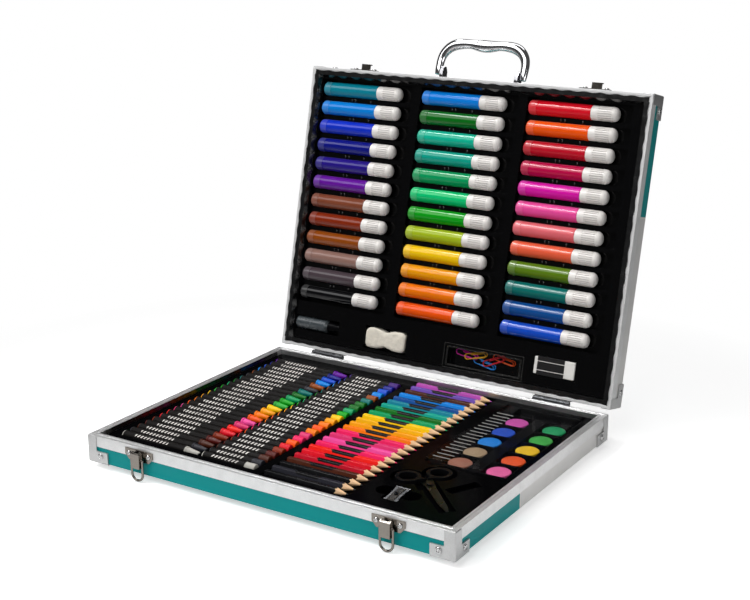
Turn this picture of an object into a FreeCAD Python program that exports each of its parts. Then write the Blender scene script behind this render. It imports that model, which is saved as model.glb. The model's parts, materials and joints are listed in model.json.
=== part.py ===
import FreeCAD, Part
import math
import os
import re
import Sketcher

# Art case, shown open: a board case with aluminium rims, a base full of sticks and tools and a lid full of
# markers. The origin is on the table, in the middle of the base. X runs along the hinges, Y to the back.
# Lid pieces are modelled with the case shut and then swung open about the hinge axis.

# Driving dimensions in millimetres and degrees
SIZES = {
    # case shell
    "case_width": 400, "case_depth": 313, "base_height": 27, "lid_height": 28, "lid_angle": 103,
    "side_board": 5.5, "face_board": 3, "rim_gap": 0.4,
    "rim_wall": 1, "rim_drop": 11, "rim_lip": 6, "rim_groove_width": 2.2, "rim_groove_depth": 0.5,
    "mitre_kerf": 0.12,
    # corner caps, rivets and feet
    "cap_sheet": 0.8, "cap_strip": 11, "cap_foot": 24.5, "cap_foot_height": 11.5, "cap_short": 0.8,
    "rivet_radius": 3.2, "rivet_crown": 1.5, "rivet_inset": 16, "rivet_height": 7,
    "foot_height": 7, "foot_radius": 7, "foot_tip_radius": 5.5, "foot_inset": 32, "foot_rear_inset": 16,
    # hinges
    "hinge_offset": 2.6, "hinge_place": 136, "hinge_width": 40, "hinge_leaf": 1.2, "hinge_leaf_length": 14,
    "knuckle_radius": 2.6, "knuckle_middle": 13, "knuckle_gap": 0.3, "pin_radius": 1.2, "running_gap": 0.06,
    "hinge_rivet_place": 12, "hinge_rivet_away": 9.1,
    # latches
    "latch_place": 136, "latch_width": 33, "latch_plate_height": 11, "plate_shoulder": 6, "plate_cut": 4.6,
    "plate_rivet_below": 4.4, "latch_below_rim": 3, "latch_sheet": 1,
    "latch_pivot_out": 2.8, "latch_pivot_below": 2.7, "latch_pin_radius": 0.8, "lever_half": 5,
    "lever_wall": 0.8,
    "lever_length": 13.5, "lever_head": 2.2, "lever_web_out": 3, "ear_inner": 2.4, "ear_wall": 1,
    "ear_nose": 1.7, "latch_rivet_place": 11.7, "small_rivet_radius": 2.4,
    "wire_radius": 0.95, "bail_half": 6.4, "bail_length": 21.4, "bail_bend": 1.4, "bail_below_pivot": 5,
    "hook_half": 5.5, "hook_reach": 6.5, "hook_lip": 3.2,
    # handle, with heights measured from its pivot
    "handle_place": 50, "handle_leg": 7, "handle_foot": 4, "handle_depth": 8, "handle_lean": 10,
    "handle_bend_rise": 14, "handle_corner_place": 36, "handle_corner_rise": 34.5, "handle_rise": 37,
    "handle_inner_bend_rise": 11, "handle_inner_corner_place": 33, "handle_inner_corner_rise": 26,
    "handle_groove_place": 17, "handle_groove_rise": 30, "handle_middle_rise": 27.5,
    "handle_corner_radius": 3, "handle_edge": 1.6, "handle_standoff": 8, "handle_pin_radius": 1.6,
    "bracket_width": 25, "bracket_height": 10.5, "bracket_plate": 1.6, "bracket_ear": 4, "bracket_depth": 17,
    # trays
    "tray_sheet": 1, "tray_fit": 0.5, "tray_corner": 6, "seat_gap": 0.2, "lift_gap": 0.5, "base_deck_drop": 5,
    "lid_deck_drop": 6, "rib_clearance": 0.35,
    # crayons, oil pastels and pencils
    "base_margin": 11.2, "stick_count": 24, "stick_pitch": 10.9, "stick_front_margin": 16.25,
    "stick_back_margin": 17.55, "stick_radius": 4.5, "wrap_sheet": 0.2, "stick_axis_drop": 7,
    "crayon_length": 92, "crayon_wrap_length": 71, "crayon_cone": 14, "crayon_tip_radius": 2, "pastel_gap": 5,
    "pastel_length": 60, "pastel_wrap_length": 49, "bay_end_gap": 2,
    "pencil_gap": 14, "pencil_count": 24, "pencil_pitch": 11.72, "pencil_front_margin": 11.84,
    "pencil_back_margin": 2.28, "pencil_corner_radius": 4, "pencil_length": 88, "pencil_sharpening": 13,
    "lead_radius": 1.1, "lead_length": 3.6, "lead_point_radius": 0.15, "pencil_axis_drop": 6,
    # paint box
    "paint_gap": 19, "paint_width": 82, "paint_front": -30, "paint_back": 145, "paint_height": 15,
    "paint_cover_height": 5.5, "paint_drop": 1.6, "paint_wall": 1, "cover_corner": 4, "cake_radius": 11.5,
    "cake_height": 5, "cake_flat": 8, "cake_crown": 0.8, "well_half": 13.2, "well_depth": 6,
    "cake_inset": 26, "cake_column_pitch": 40,
    "cake_row": -10, "cake_row_pitch": 29.2, "cake_rows": 5, "flute_count": 17, "flute_pitch": 8,
    "flute_inset": 5, "flute_front": -24, "flute_length": 18, "flute_width": 1.2, "flute_height": 0.6,
    # scissors and sharpener, placed from the paint box's left edge
    "scissor_inset": 31, "scissor_y": -75, "scissor_turn": -45, "scissor_drop": 4, "blade_sheet": 1.2,
    "blade_length": 58, "blade_half": 4.6, "blade_tip_half": 1, "tang_length": 14, "loop_back": 20.5,
    "loop_side": 14.5, "loop_radius": 12, "finger_radius": 8.2, "grip_height": 5, "grip_front": 10.5,
    "grip_parting": 0.5, "scissor_rivet_radius": 2, "scissor_swing": 6, "blade_gap": 0.1,
    "sharpener_inset": 17, "sharpener_y": -109, "sharpener_length": 25, "sharpener_half": 7.5,
    "sharpener_waist": 6, "sharpener_height": 11, "sharpener_low_end": 7.5, "sharpener_drop": 3.2,
    "sharpener_bore": 3.9, "sharpener_bore_end": 1.2, "sharpener_blade_sheet": 0.6,
    "sharpener_blade_half": 3.5, "sharpener_blade_length": 21, "screw_radius": 2.2, "screw_head": 1,
    "finger_pit_radius": 9, "finger_pit_out": 5.4, "finger_pit_back": 3.6,
    "scoop_inset": 60, "scoop_y": -66, "scoop_turn": 62, "scoop_length": 32,
    "scoop_width": 11,
    # markers
    "marker_rows": 12, "marker_columns": 3, "marker_pitch": 20.7, "marker_column_gap": 24.6,
    "marker_margin": 5.6, "marker_front_margin": 4.15, "marker_radius": 7.7, "marker_length": 101,
    "marker_cap_length": 32, "marker_cap_radius": 7.5, "marker_round": 2.4, "marker_axis_drop": 11.2,
    "marker_bay_end": 12, "marker_rib_height": 9,
    # strip of small things along the hinges, with rows measured from the tray's rear edge
    "strip_depth": 42.85, "strip_drop": 4.5,
    "glue_left": -187, "glue_row": 18.2, "glue_length": 57, "glue_cap_length": 15, "glue_radius": 7.5,
    "glue_round": 1, "glue_shoulder": 3, "glue_neck": 4.5, "glue_cap_base": 6, "glue_cap_top": 4.1,
    "glue_axis_drop": 12,
    "sponge_x": -69, "sponge_row": 16.2, "sponge_length": 52, "sponge_width": 24, "sponge_waist": 17,
    "sponge_height": 14,
    "clip_bay_x": 51, "clip_bay_row": 13.5, "clip_bay_length": 88, "clip_bay_width": 21, "clip_bay_depth": 11,
    "cover_lap": 2.5, "cover_sheet": 0.8, "clip_count": 5, "clip_pitch": 14, "clip_half": 4, "clip_wire": 1,
    "eraser_x": 132, "eraser_row": 21.2, "eraser_length": 45, "eraser_width": 19, "eraser_height": 11,
    "eraser_sleeve_length": 30, "eraser_sleeve_sheet": 0.4,
}

# Places worked out from the driving dimensions
HALF_W = "(case_width/2)"
HALF_D = "(case_depth/2)"
BASE_LOW = "foot_height"
HINGE_Z = "(foot_height + base_height)"
HINGE_Y = "(case_depth/2 + hinge_offset)"
BASE_TOP = "(foot_height + base_height - rim_gap/2)"
LID_LOW = "(foot_height + base_height + rim_gap/2)"
LID_TOP = "(foot_height + base_height + lid_height)"
RIM_OUT_X = "(case_width/2 - cap_sheet)"
RIM_OUT_Y = "(case_depth/2 - cap_sheet)"
BOARD_OUT_X = "(case_width/2 - cap_sheet - rim_wall)"
BOARD_OUT_Y = "(case_depth/2 - cap_sheet - rim_wall)"
BOARD_IN_X = "(case_width/2 - cap_sheet - rim_wall - side_board)"
BOARD_IN_Y = "(case_depth/2 - cap_sheet - rim_wall - side_board)"
RIM_IN_X = "(case_width/2 - cap_sheet - 2*rim_wall - side_board)"
RIM_IN_Y = "(case_depth/2 - cap_sheet - 2*rim_wall - side_board)"
BASE_DECK = "(foot_height + base_height - rim_gap/2 - base_deck_drop)"
LID_DECK = "(foot_height + base_height + rim_gap/2 + lid_deck_drop)"
BASE_FLOOR = "(foot_height + face_board)"
LID_CEILING = "(foot_height + base_height + lid_height - face_board)"
TRAY_W = "(case_width - 2*(cap_sheet + 2*rim_wall + side_board + tray_fit))"
TRAY_D = "(case_depth - 2*(cap_sheet + 2*rim_wall + side_board + tray_fit))"

# The contents share out their tray's width and depth: in a case of another size they follow these scales
BASE_ACROSS = (f"({TRAY_W}/(2*base_margin + crayon_length + pastel_gap + pastel_length + pencil_gap"
               " + pencil_length + paint_gap + paint_width))")
BASE_DEEP = f"({TRAY_D}/(stick_front_margin + stick_count*stick_pitch + stick_back_margin))"
PENCILS_DEEP = f"({TRAY_D}/(pencil_front_margin + pencil_count*pencil_pitch + pencil_back_margin))"
TOOL_SCALE = f"min({BASE_ACROSS}; {BASE_DEEP})"
LID_ACROSS = f"({TRAY_W}/(marker_margin + marker_columns*(marker_length + marker_column_gap)))"
LID_DEEP = f"({TRAY_D}/(strip_depth + marker_rows*marker_pitch + marker_front_margin))"
SCALED = {
    BASE_ACROSS: """base_margin crayon_length crayon_wrap_length crayon_cone pastel_gap pastel_length
        pastel_wrap_length pencil_gap pencil_length pencil_sharpening lead_length paint_gap paint_width
        cake_inset cake_column_pitch flute_inset flute_length scissor_inset sharpener_inset scoop_inset""",
    BASE_DEEP: """stick_pitch stick_front_margin stick_back_margin stick_radius crayon_tip_radius paint_front
        paint_back cake_row cake_row_pitch flute_front flute_pitch scissor_y sharpener_y scoop_y""",
    PENCILS_DEEP: "pencil_pitch pencil_front_margin pencil_back_margin pencil_corner_radius lead_radius",
    TOOL_SCALE: """cake_radius cake_flat well_half blade_length blade_half blade_tip_half tang_length
        loop_back loop_side loop_radius finger_radius grip_front sharpener_length sharpener_half
        sharpener_waist sharpener_bore sharpener_bore_end sharpener_blade_half sharpener_blade_length
        finger_pit_radius finger_pit_out finger_pit_back scoop_length scoop_width""",
    LID_ACROSS: """marker_margin marker_length marker_column_gap marker_cap_length marker_bay_end glue_left
        glue_length glue_cap_length sponge_x sponge_length clip_bay_x clip_bay_length clip_pitch clip_half
        eraser_x eraser_length eraser_sleeve_length""",
    LID_DEEP: """strip_depth marker_pitch marker_radius marker_cap_radius marker_round glue_row glue_radius
        glue_neck glue_cap_base glue_cap_top sponge_row sponge_width sponge_waist clip_bay_row clip_bay_width
        eraser_row eraser_width""",
}
SCALE_OF = {name: scale for scale, names in SCALED.items() for name in names.split()}

# Left ends of the bays, the paint box and the things placed from it
CRAYON_LEFT = f"(base_margin - {TRAY_W}/2)"
PASTEL_LEFT = f"({CRAYON_LEFT} + crayon_length + pastel_gap)"
PENCIL_LEFT = f"({PASTEL_LEFT} + pastel_length + pencil_gap)"
PAINT_LEFT = f"({PENCIL_LEFT} + pencil_length + paint_gap)"
PAINT_RIGHT = f"({PAINT_LEFT} + paint_width)"
CAKE_X = f"({PAINT_LEFT} + cake_inset)"
SCISSOR_X = f"({PAINT_LEFT} + scissor_inset)"
SHARPENER_X = f"({PAINT_LEFT} + sharpener_inset)"
SCOOP_X = f"({PAINT_LEFT} + scoop_inset)"

doc = FreeCAD.newDocument("art_case")
sheet = doc.addObject("Spreadsheet::Sheet", "sizes")
for row, (alias, value) in enumerate(SIZES.items(), start=1):
    sheet.set(f"A{row}", alias)
    sheet.set(f"B{row}", str(value))
    sheet.setAlias(f"B{row}", alias)
doc.recompute()

nodes = []


def formula(words):
    """A formula of size names as an expression on the sheet's cells, with the trays' contents to scale."""
    def scaled(name):
        return f"({name}*{SCALE_OF[name]})" if name in SCALE_OF else name

    to_scale = re.sub(r"[a-z_]+", lambda found: scaled(found[0]), str(words))
    return re.sub(r"[a-z_]+", lambda found: "sizes." + found[0] if found[0] in SIZES else found[0], to_scale)


def bind(obj, prop, words):
    obj.setExpression(prop, formula(words))


def size(alias):
    return float(sheet.get(alias))


def new_body(label):
    """A sub-part; its label names its file."""
    body = doc.addObject("PartDesign::Body", label)
    body.Label = label
    nodes.append(body)
    return body


def origin(body, role):
    return next(feature for feature in body.Origin.OriginFeatures if feature.Role == role)


def sketch_on(body, plane, offset):
    sketch = body.newObject("Sketcher::SketchObject", "Outline")
    sketch.AttachmentSupport = [(origin(body, plane + "_Plane"), "")]
    sketch.MapMode = "FlatFace"
    bind(sketch, "AttachmentOffset.Base.z", offset)
    return sketch


def pin_point(sketch, line, end, across, up):
    """Holds one point of a sketch at the two formulas."""
    for kind, words in (("DistanceX", across), ("DistanceY", up)):
        constraint = sketch.addConstraint(Sketcher.Constraint(kind, -1, 1, line, end, 1.0))
        bind(sketch, f"Constraints[{constraint}]", words)


def draw_polygon(sketch, points):
    """A closed outline of straight lines through points given as pairs of formulas."""
    count = len(points)
    first = sketch.GeometryCount
    spread = [FreeCAD.Vector(math.cos(2 * math.pi * i / count), math.sin(2 * math.pi * i / count), 0)
              for i in range(count)]
    for i in range(count):
        sketch.addGeometry(Part.LineSegment(spread[i], spread[(i + 1) % count]))
    for i in range(count):
        sketch.addConstraint(Sketcher.Constraint("Coincident", first + i, 2, first + (i + 1) % count, 1))
    for i, (across, up) in enumerate(points):
        pin_point(sketch, first + i, 1, across, up)


def draw_circle(sketch, across, up, radius):
    circle = sketch.addGeometry(Part.Circle(FreeCAD.Vector(0, 0, 0), FreeCAD.Vector(0, 0, 1), 1))
    pin_point(sketch, circle, 3, across, up)
    constraint = sketch.addConstraint(Sketcher.Constraint("Radius", circle, 1.0))
    bind(sketch, f"Constraints[{constraint}]", radius)


def draw(sketch, loops):
    """Loops are lists of points, or a circle as (across, up, radius)."""
    for loop in loops:
        if isinstance(loop, tuple):
            draw_circle(sketch, *loop)
        else:
            draw_polygon(sketch, loop)


def rectangle(left, right, low, high):
    return [(left, low), (right, low), (right, high), (left, high)]


def centred(x, y, length, width):
    half_x = f"({length})/2"
    half_y = f"({width})/2"
    return rectangle(f"{x} - {half_x}", f"{x} + {half_x}", f"{y} - {half_y}", f"{y} + {half_y}")


def extrude(body, plane, loops, low, high, cut=False):
    """Pads, or cuts, the loops from low to high along the plane's own axis (X, Y or Z)."""
    start = high if cut else low
    if plane == "XZ":
        start = f"-({low})" if cut else f"-({high})"
    sketch = sketch_on(body, plane, start)
    draw(sketch, loops)
    feature = body.newObject("PartDesign::Pocket" if cut else "PartDesign::Pad", "Cut" if cut else "Pad")
    feature.Profile = sketch
    bind(feature, "Length", f"({high}) - ({low})")
    body.Tip = feature
    return feature


def revolve(body, plane, points, axis, cut=False):
    """Turns an outline about the sketch's own axis, H or V."""
    sketch = sketch_on(body, plane, 0)
    draw(sketch, [points])
    kind = "PartDesign::Groove" if cut else "PartDesign::Revolution"
    feature = body.newObject(kind, "Turn")
    feature.Profile = sketch
    feature.ReferenceAxis = (sketch, [axis + "_Axis"])
    feature.Angle = 360
    body.Tip = feature
    return feature


def repeat(body, axis, spacing, count):
    """Copies all of a body along an axis."""
    source = body.Tip
    pattern = body.newObject("PartDesign::LinearPattern", "Row")
    pattern.BaseFeature = source
    pattern.TransformMode = "Whole shape"
    pattern.Direction = (origin(body, axis + "_Axis"), [""])
    pattern.Mode = "Spacing"
    bind(pattern, "Offset", spacing)
    bind(pattern, "Occurrences", count)
    body.Tip = pattern
    return pattern


def repeat_feature(body, feature, axis, spacing, count):
    """Copies one feature of a body along an axis."""
    pattern = body.newObject("PartDesign::LinearPattern", "Row")
    pattern.Originals = [feature]
    pattern.Direction = (origin(body, axis + "_Axis"), [""])
    pattern.Mode = "Spacing"
    bind(pattern, "Offset", spacing)
    bind(pattern, "Occurrences", count)
    body.Tip = pattern
    return pattern


def mirror(body, *planes):
    """Mirrors all of a body in one or two of its origin planes."""
    source = body.Tip
    group = body.newObject("PartDesign::MultiTransform", "Mirrors")
    group.BaseFeature = source
    steps = []
    for plane in planes:
        step = body.newObject("PartDesign::Mirrored", "Mirror")
        step.MirrorPlane = (origin(body, plane + "_Plane"), [""])
        steps.append(step)
    group.Transformations = steps
    group.TransformMode = "Whole shape"
    body.Tip = group
    return group


def mirror_features(body, features, *planes):
    """Mirrors only the given features of a body."""
    group = body.newObject("PartDesign::MultiTransform", "Mirrors")
    steps = []
    for plane in planes:
        step = body.newObject("PartDesign::Mirrored", "Mirror")
        step.MirrorPlane = (origin(body, plane + "_Plane"), [""])
        steps.append(step)
    group.Originals = features
    group.Transformations = steps
    body.Tip = group
    return group


def round_edges(body, radius, chosen):
    """Fillets the edges of a body's last feature for which chosen(edge) is true."""
    doc.recompute()
    base = body.Tip
    names = [f"Edge{i}" for i, edge in enumerate(base.Shape.Edges, start=1) if chosen(edge)]
    fillet = body.newObject("PartDesign::Fillet", "Round")
    fillet.Base = (base, names)
    bind(fillet, "Radius", radius)
    body.Tip = fillet
    return fillet


def bevel_faces(body, width):
    """Chamfers all round the top and bottom faces of a body's last feature."""
    doc.recompute()
    base = body.Tip
    flat = [f"Face{i}" for i, face in enumerate(base.Shape.Faces, start=1)
            if abs(face.normalAt(0, 0).z) > 0.999]
    chamfer = body.newObject("PartDesign::Chamfer", "Bevel")
    chamfer.Base = (base, flat)
    bind(chamfer, "Size", width)
    body.Tip = chamfer
    return chamfer


def upright(edge):
    """True for an edge that runs along Z."""
    ends = [vertex.Point for vertex in edge.Vertexes]
    return len(ends) == 2 and (ends[0] - ends[1]).cross(FreeCAD.Vector(0, 0, 1)).Length < 1e-6


def place(obj, x=0, y=0, z=0):
    for axis, words in zip("xyz", (x, y, z)):
        bind(obj, "Placement.Base." + axis, words)


def place_turned(obj, x, y, z, turn):
    """Puts a sub-part down at x, y, z, turned about the vertical."""
    obj.Placement = FreeCAD.Placement(FreeCAD.Vector(), FreeCAD.Rotation(FreeCAD.Vector(0, 0, 1), 1))
    bind(obj, "Placement.Rotation.Angle", turn)
    place(obj, x, y, z)


def place_on_lid(obj, x=0, y=0, z=0, lean=0):
    """Puts a sub-part where x, y, z of the shut lid comes to when the lid swings open."""
    obj.Placement = FreeCAD.Placement(FreeCAD.Vector(), FreeCAD.Rotation(FreeCAD.Vector(-1, 0, 0), 1))
    bind(obj, "Placement.Rotation.Angle", f"lid_angle + {lean}")
    along = f"(({y}) - {HINGE_Y})"
    above = f"(({z}) - {HINGE_Z})"
    bind(obj, "Placement.Base.x", x)
    bind(obj, "Placement.Base.y", f"{HINGE_Y} + cos(lid_angle)*{along} + sin(lid_angle)*{above}")
    bind(obj, "Placement.Base.z", f"{HINGE_Z} - sin(lid_angle)*{along} + cos(lid_angle)*{above}")


def slab(label, xs, ys, zs):
    """A plain board between the given limits."""
    body = new_body(label)
    extrude(body, "XY", [rectangle(*xs, *ys)], *zs)
    return body


def both(limit):
    return f"-{limit}", limit


def panels(half, face, face_zs, wall_zs):
    """The five boards of one half of the case."""
    boards = [
        slab(f"{half}_{face}_panel", both(BOARD_IN_X), both(BOARD_IN_Y), face_zs),
        slab(f"{half}_front_panel", both(BOARD_OUT_X), (f"-{BOARD_OUT_Y}", f"-{BOARD_IN_Y}"), wall_zs),
        slab(f"{half}_rear_panel", both(BOARD_OUT_X), (BOARD_IN_Y, BOARD_OUT_Y), wall_zs),
        slab(f"{half}_left_panel", (f"-{BOARD_OUT_X}", f"-{BOARD_IN_X}"), both(BOARD_IN_Y), wall_zs),
        slab(f"{half}_right_panel", (BOARD_IN_X, BOARD_OUT_X), both(BOARD_IN_Y), wall_zs),
    ]
    return boards


def mitre(corner_x, corner_y):
    """A thin slit along the diagonal of one corner, from inside the rim to outside it."""
    kerf = "mitre_kerf*0.71"
    inner_x = f"{corner_x}*({RIM_IN_X} - rim_wall)"
    inner_y = f"{corner_y}*({RIM_IN_Y} - rim_wall)"
    outer_x = f"{corner_x}*({RIM_OUT_X} + rim_wall)"
    outer_y = f"{corner_y}*({RIM_OUT_Y} + rim_wall)"
    return [(f"{inner_x} + {kerf}", inner_y), (f"{outer_x} + {kerf}", outer_y),
            (f"{outer_x} - {kerf}", outer_y), (f"{inner_x} - {kerf}", inner_y)]


def rim(label, face, away):
    """Four mitred channels clipped over the boards. face is the meeting plane, away the way to the boards."""
    body = new_body(label)

    def between(near, far):
        ends = [f"{face} + ({away})*({near})", f"{face} + ({away})*({far})"]
        return ends if away > 0 else ends[::-1]

    outer = rectangle(*both(RIM_OUT_X), *both(RIM_OUT_Y))
    inner = rectangle(*both(RIM_IN_X), *both(RIM_IN_Y))
    board_outer = rectangle(*both(BOARD_OUT_X), *both(BOARD_OUT_Y))
    board_inner = rectangle(*both(BOARD_IN_X), *both(BOARD_IN_Y))
    groove_x = f"({BOARD_IN_X} + (side_board - rim_groove_width)/2)"
    groove_y = f"({BOARD_IN_Y} + (side_board - rim_groove_width)/2)"
    groove_inner = rectangle(*both(groove_x), *both(groove_y))
    groove_outer = rectangle(*both(f"({groove_x} + rim_groove_width)"),
                             *both(f"({groove_y} + rim_groove_width)"))
    extrude(body, "XY", [outer, inner], *between(0, "rim_drop"))
    extrude(body, "XY", [board_outer, board_inner], *between("rim_wall", "rim_drop + rim_wall"), cut=True)
    extrude(body, "XY", [board_inner], *between("rim_lip", "rim_drop + rim_wall"), cut=True)
    extrude(body, "XY", [groove_outer, groove_inner], *between("-rim_wall", "rim_groove_depth"), cut=True)
    slits = [mitre(x, y) for x in (-1, 1) for y in (-1, 1)]
    extrude(body, "XY", slits, *between("-rim_wall", "rim_drop + rim_wall"), cut=True)
    return body


def corner_caps(label, face, tip, away):
    """Pressed caps: a strip up each corner, a dished foot on both walls and a corner of sheet on the face."""
    body = new_body(label)
    outside = f"({face} - ({away})*cap_sheet)"
    foot_top = f"({face} + ({away})*cap_foot_height)"

    def upward(near, far):
        return (near, far) if away > 0 else (far, near)

    def outline(reach):
        foot = f"({reach} - cap_foot)"
        strip = f"({reach} - cap_strip)"
        return [(foot, outside), (reach, outside), (reach, tip), (strip, tip), (strip, foot_top),
                (foot, foot_top)]

    extrude(body, "XZ", [outline(HALF_W)], f"-{HALF_D}", f"-{RIM_OUT_Y}")
    extrude(body, "YZ", [[(f"-{across}", up) for across, up in outline(HALF_D)]], RIM_OUT_X, HALF_W)
    front_dish = rectangle(f"{HALF_W} - cap_foot", RIM_OUT_X, *upward(outside, foot_top))
    extrude(body, "XZ", [front_dish], f"-{RIM_OUT_Y}", f"-{BOARD_OUT_Y}")
    side_dish = rectangle(f"-{RIM_OUT_Y}", f"cap_foot - {HALF_D}", *upward(outside, foot_top))
    extrude(body, "YZ", [side_dish], BOARD_OUT_X, RIM_OUT_X)
    corner = [(f"{HALF_W} - cap_foot", f"-{HALF_D}"), (HALF_W, f"-{HALF_D}"),
              (HALF_W, f"cap_foot - {HALF_D}"),
              (f"{HALF_W} - cap_foot", f"cap_strip - {HALF_D}")]
    extrude(body, "XY", [corner], *upward(outside, face))
    mirror(body, "YZ", "XZ")
    return body


def rivet(body, plane, across, up, base, crown, radius):
    """One rivet head, standing from base to crown along the plane's own axis."""
    return extrude(body, plane, [(across, up, radius)], base, crown)


def rivets(label, row_z, latch_z, hinge_z):
    """All rivet heads of one half: two on each corner cap, two on each latch and two on each hinge."""
    body = new_body(label)
    inset_x = f"({HALF_W} - rivet_inset)"
    inset_y = f"({HALF_D} - rivet_inset)"
    front = rivet(body, "XZ", inset_x, row_z, f"-({HALF_D} + rivet_crown)", f"-({HALF_D})", "rivet_radius")
    side = rivet(body, "YZ", f"-{inset_y}", row_z, HALF_W, f"{HALF_W} + rivet_crown", "rivet_radius")
    mirror_features(body, [front, side], "YZ", "XZ")
    plate = f"-({RIM_OUT_Y} + latch_sheet)"
    plate_top = f"-({RIM_OUT_Y} + latch_sheet + rivet_crown)"
    latch = [rivet(body, "XZ", f"latch_place + ({side})*latch_rivet_place", latch_z, plate_top, plate,
                   "small_rivet_radius") for side in (-1, 1)]
    leaf = f"({RIM_OUT_Y} + hinge_leaf)"
    hinge = [rivet(body, "XZ", f"hinge_place + ({side})*hinge_rivet_place", hinge_z, leaf,
                   f"{leaf} + rivet_crown/2", "small_rivet_radius") for side in (-1, 1)]
    mirror_features(body, latch + hinge, "YZ")
    return body


def feet():
    body = new_body("base_feet")
    revolve(body, "XZ", [("0", "0"), ("foot_tip_radius", "0"), ("foot_radius", "foot_height"),
                         ("0", "foot_height")], "V")
    repeat(body, "X", f"2*({HALF_W} - foot_inset)", 2)
    repeat(body, "Y", "case_depth - foot_inset - foot_rear_inset", 2)
    place(body, f"-({HALF_W} - foot_inset)", f"-({HALF_D} - foot_inset)", 0)


def hinge_leaves(label, away, knuckles):
    """Two leaves on the rear wall with their knuckles round the pin. knuckles are spans along X."""
    body = new_body(label)
    leaf = (RIM_OUT_Y, f"{RIM_OUT_Y} + hinge_leaf")
    clear = f"{HINGE_Z} + ({away})*(knuckle_radius + knuckle_gap)"
    far = f"{HINGE_Z} + ({away})*hinge_leaf_length"
    ends = (clear, far) if away > 0 else (far, clear)
    tab_ends = (HINGE_Z, far) if away > 0 else (far, HINGE_Z)
    left_end = "hinge_place - hinge_width/2"
    extrude(body, "XZ", [rectangle(left_end, "hinge_place + hinge_width/2", *ends)], *leaf)
    for left, right in knuckles:
        extrude(body, "XZ", [rectangle(left, right, *tab_ends)], *leaf)
        extrude(body, "YZ", [(HINGE_Y, HINGE_Z, "knuckle_radius")], left, right)
    extrude(body, "YZ", [(HINGE_Y, HINGE_Z, "pin_radius + running_gap")], "hinge_place - hinge_width",
            "hinge_place + hinge_width", cut=True)
    mirror(body, "YZ")
    return body


def hinges():
    middle = "knuckle_middle/2"
    outer = f"({middle} + knuckle_gap)"
    hinge_leaves("hinge_base_leaves", -1, [("hinge_place - hinge_width/2", f"hinge_place - {outer}"),
                                           (f"hinge_place + {outer}", "hinge_place + hinge_width/2")])
    lid_knuckle = (f"hinge_place - {middle}", f"hinge_place + {middle}")
    lid_leaves = hinge_leaves("hinge_lid_leaves", 1, [lid_knuckle])
    place_on_lid(lid_leaves)
    pins = new_body("hinge_pins")
    extrude(pins, "YZ", [(HINGE_Y, HINGE_Z, "pin_radius")], "hinge_place - hinge_width/2",
            "hinge_place + hinge_width/2")
    mirror(pins, "YZ")


# Latches: a riveted plate, a lever that swings on its ears and a wire loop that swings on the lever
LATCH_FACE = f"({RIM_OUT_Y} + latch_sheet)"
LATCH_TOP = f"({BASE_TOP} - latch_below_rim)"
PIVOT_Y = f"-({LATCH_FACE} + latch_pivot_out)"
PIVOT_Z = f"({LATCH_TOP} - latch_pivot_below)"


def plate_outline(top, down):
    """A latch plate's face: square shoulders above, cut corners below."""
    left = "latch_place - latch_width/2"
    right = "latch_place + latch_width/2"
    shoulder = f"{top} + ({down})*plate_shoulder"
    low = f"{top} + ({down})*latch_plate_height"
    return [(left, top), (right, top), (right, shoulder), (f"{right} - plate_cut", low),
            (f"{left} + plate_cut", low), (left, shoulder)]


def latch_plates():
    """Plates with two ears each, round-nosed so that the lever's web swings past them, and their pins."""
    body = new_body("latch_plates")
    extrude(body, "XZ", [plate_outline(LATCH_TOP, -1)], f"-{LATCH_FACE}", f"-{RIM_OUT_Y}")
    wall = f"-{RIM_OUT_Y}"
    slant = "0.7*ear_nose"
    ear = [(wall, f"{PIVOT_Z} - ear_nose"), (PIVOT_Y, f"{PIVOT_Z} - ear_nose"),
           (f"{PIVOT_Y} - {slant}", f"{PIVOT_Z} - {slant}"), (f"{PIVOT_Y} - ear_nose", PIVOT_Z),
           (f"{PIVOT_Y} - {slant}", f"{PIVOT_Z} + {slant}"), (PIVOT_Y, f"{PIVOT_Z} + ear_nose"),
           (wall, f"{PIVOT_Z} + ear_nose")]
    extrude(body, "YZ", [ear], "latch_place - ear_inner - ear_wall", "latch_place - ear_inner")
    extrude(body, "YZ", [ear], "latch_place + ear_inner", "latch_place + ear_inner + ear_wall")
    extrude(body, "YZ", [(PIVOT_Y, PIVOT_Z, "latch_pin_radius + running_gap")], "latch_place - lever_half",
            "latch_place + lever_half", cut=True)
    mirror(body, "YZ")
    pins = new_body("latch_pivot_pins")
    extrude(pins, "YZ", [(PIVOT_Y, PIVOT_Z, "latch_pin_radius")], "latch_place - lever_half",
            "latch_place + lever_half")
    mirror(pins, "YZ")


def latch_lever(label, side):
    """A folded channel, modelled about its pivot: rounded over the pin, open at the back."""
    body = new_body(label)
    back = "lever_head*0.9"
    corner = "lever_head*0.35"
    profile = [("-lever_web_out", "-lever_length"), (corner, "-lever_length"), (back, "-lever_head"),
               (back, corner), (corner, back), (f"-{corner}", back), ("-lever_web_out", corner)]
    extrude(body, "YZ", [profile], "-lever_half", "lever_half")
    channel = rectangle(*both("(lever_half - lever_wall)"), "-(lever_web_out - lever_wall)", "lever_length")
    extrude(body, "XY", [channel], "-2*lever_length", "lever_length", cut=True)
    for below, radius in (("0", "latch_pin_radius"), ("-bail_below_pivot", "wire_radius")):
        hole = ("0", below, f"{radius} + running_gap")
        extrude(body, "YZ", [hole], "-2*lever_half", "2*lever_half", cut=True)
    place(body, f"({side})*latch_place", PIVOT_Y, PIVOT_Z)


def wire_part(body, kind, turn, sizes, x, z):
    """One straight or bent stretch of the loop's wire, laid in the X-Z plane."""
    stretch = body.newObject(kind, "Wire")
    stretch.Placement = FreeCAD.Placement(FreeCAD.Vector(), turn)
    for prop, words in sizes.items():
        bind(stretch, prop, words)
    bind(stretch, "Placement.Base.x", x)
    bind(stretch, "Placement.Base.z", z)
    body.Tip = stretch


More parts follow.
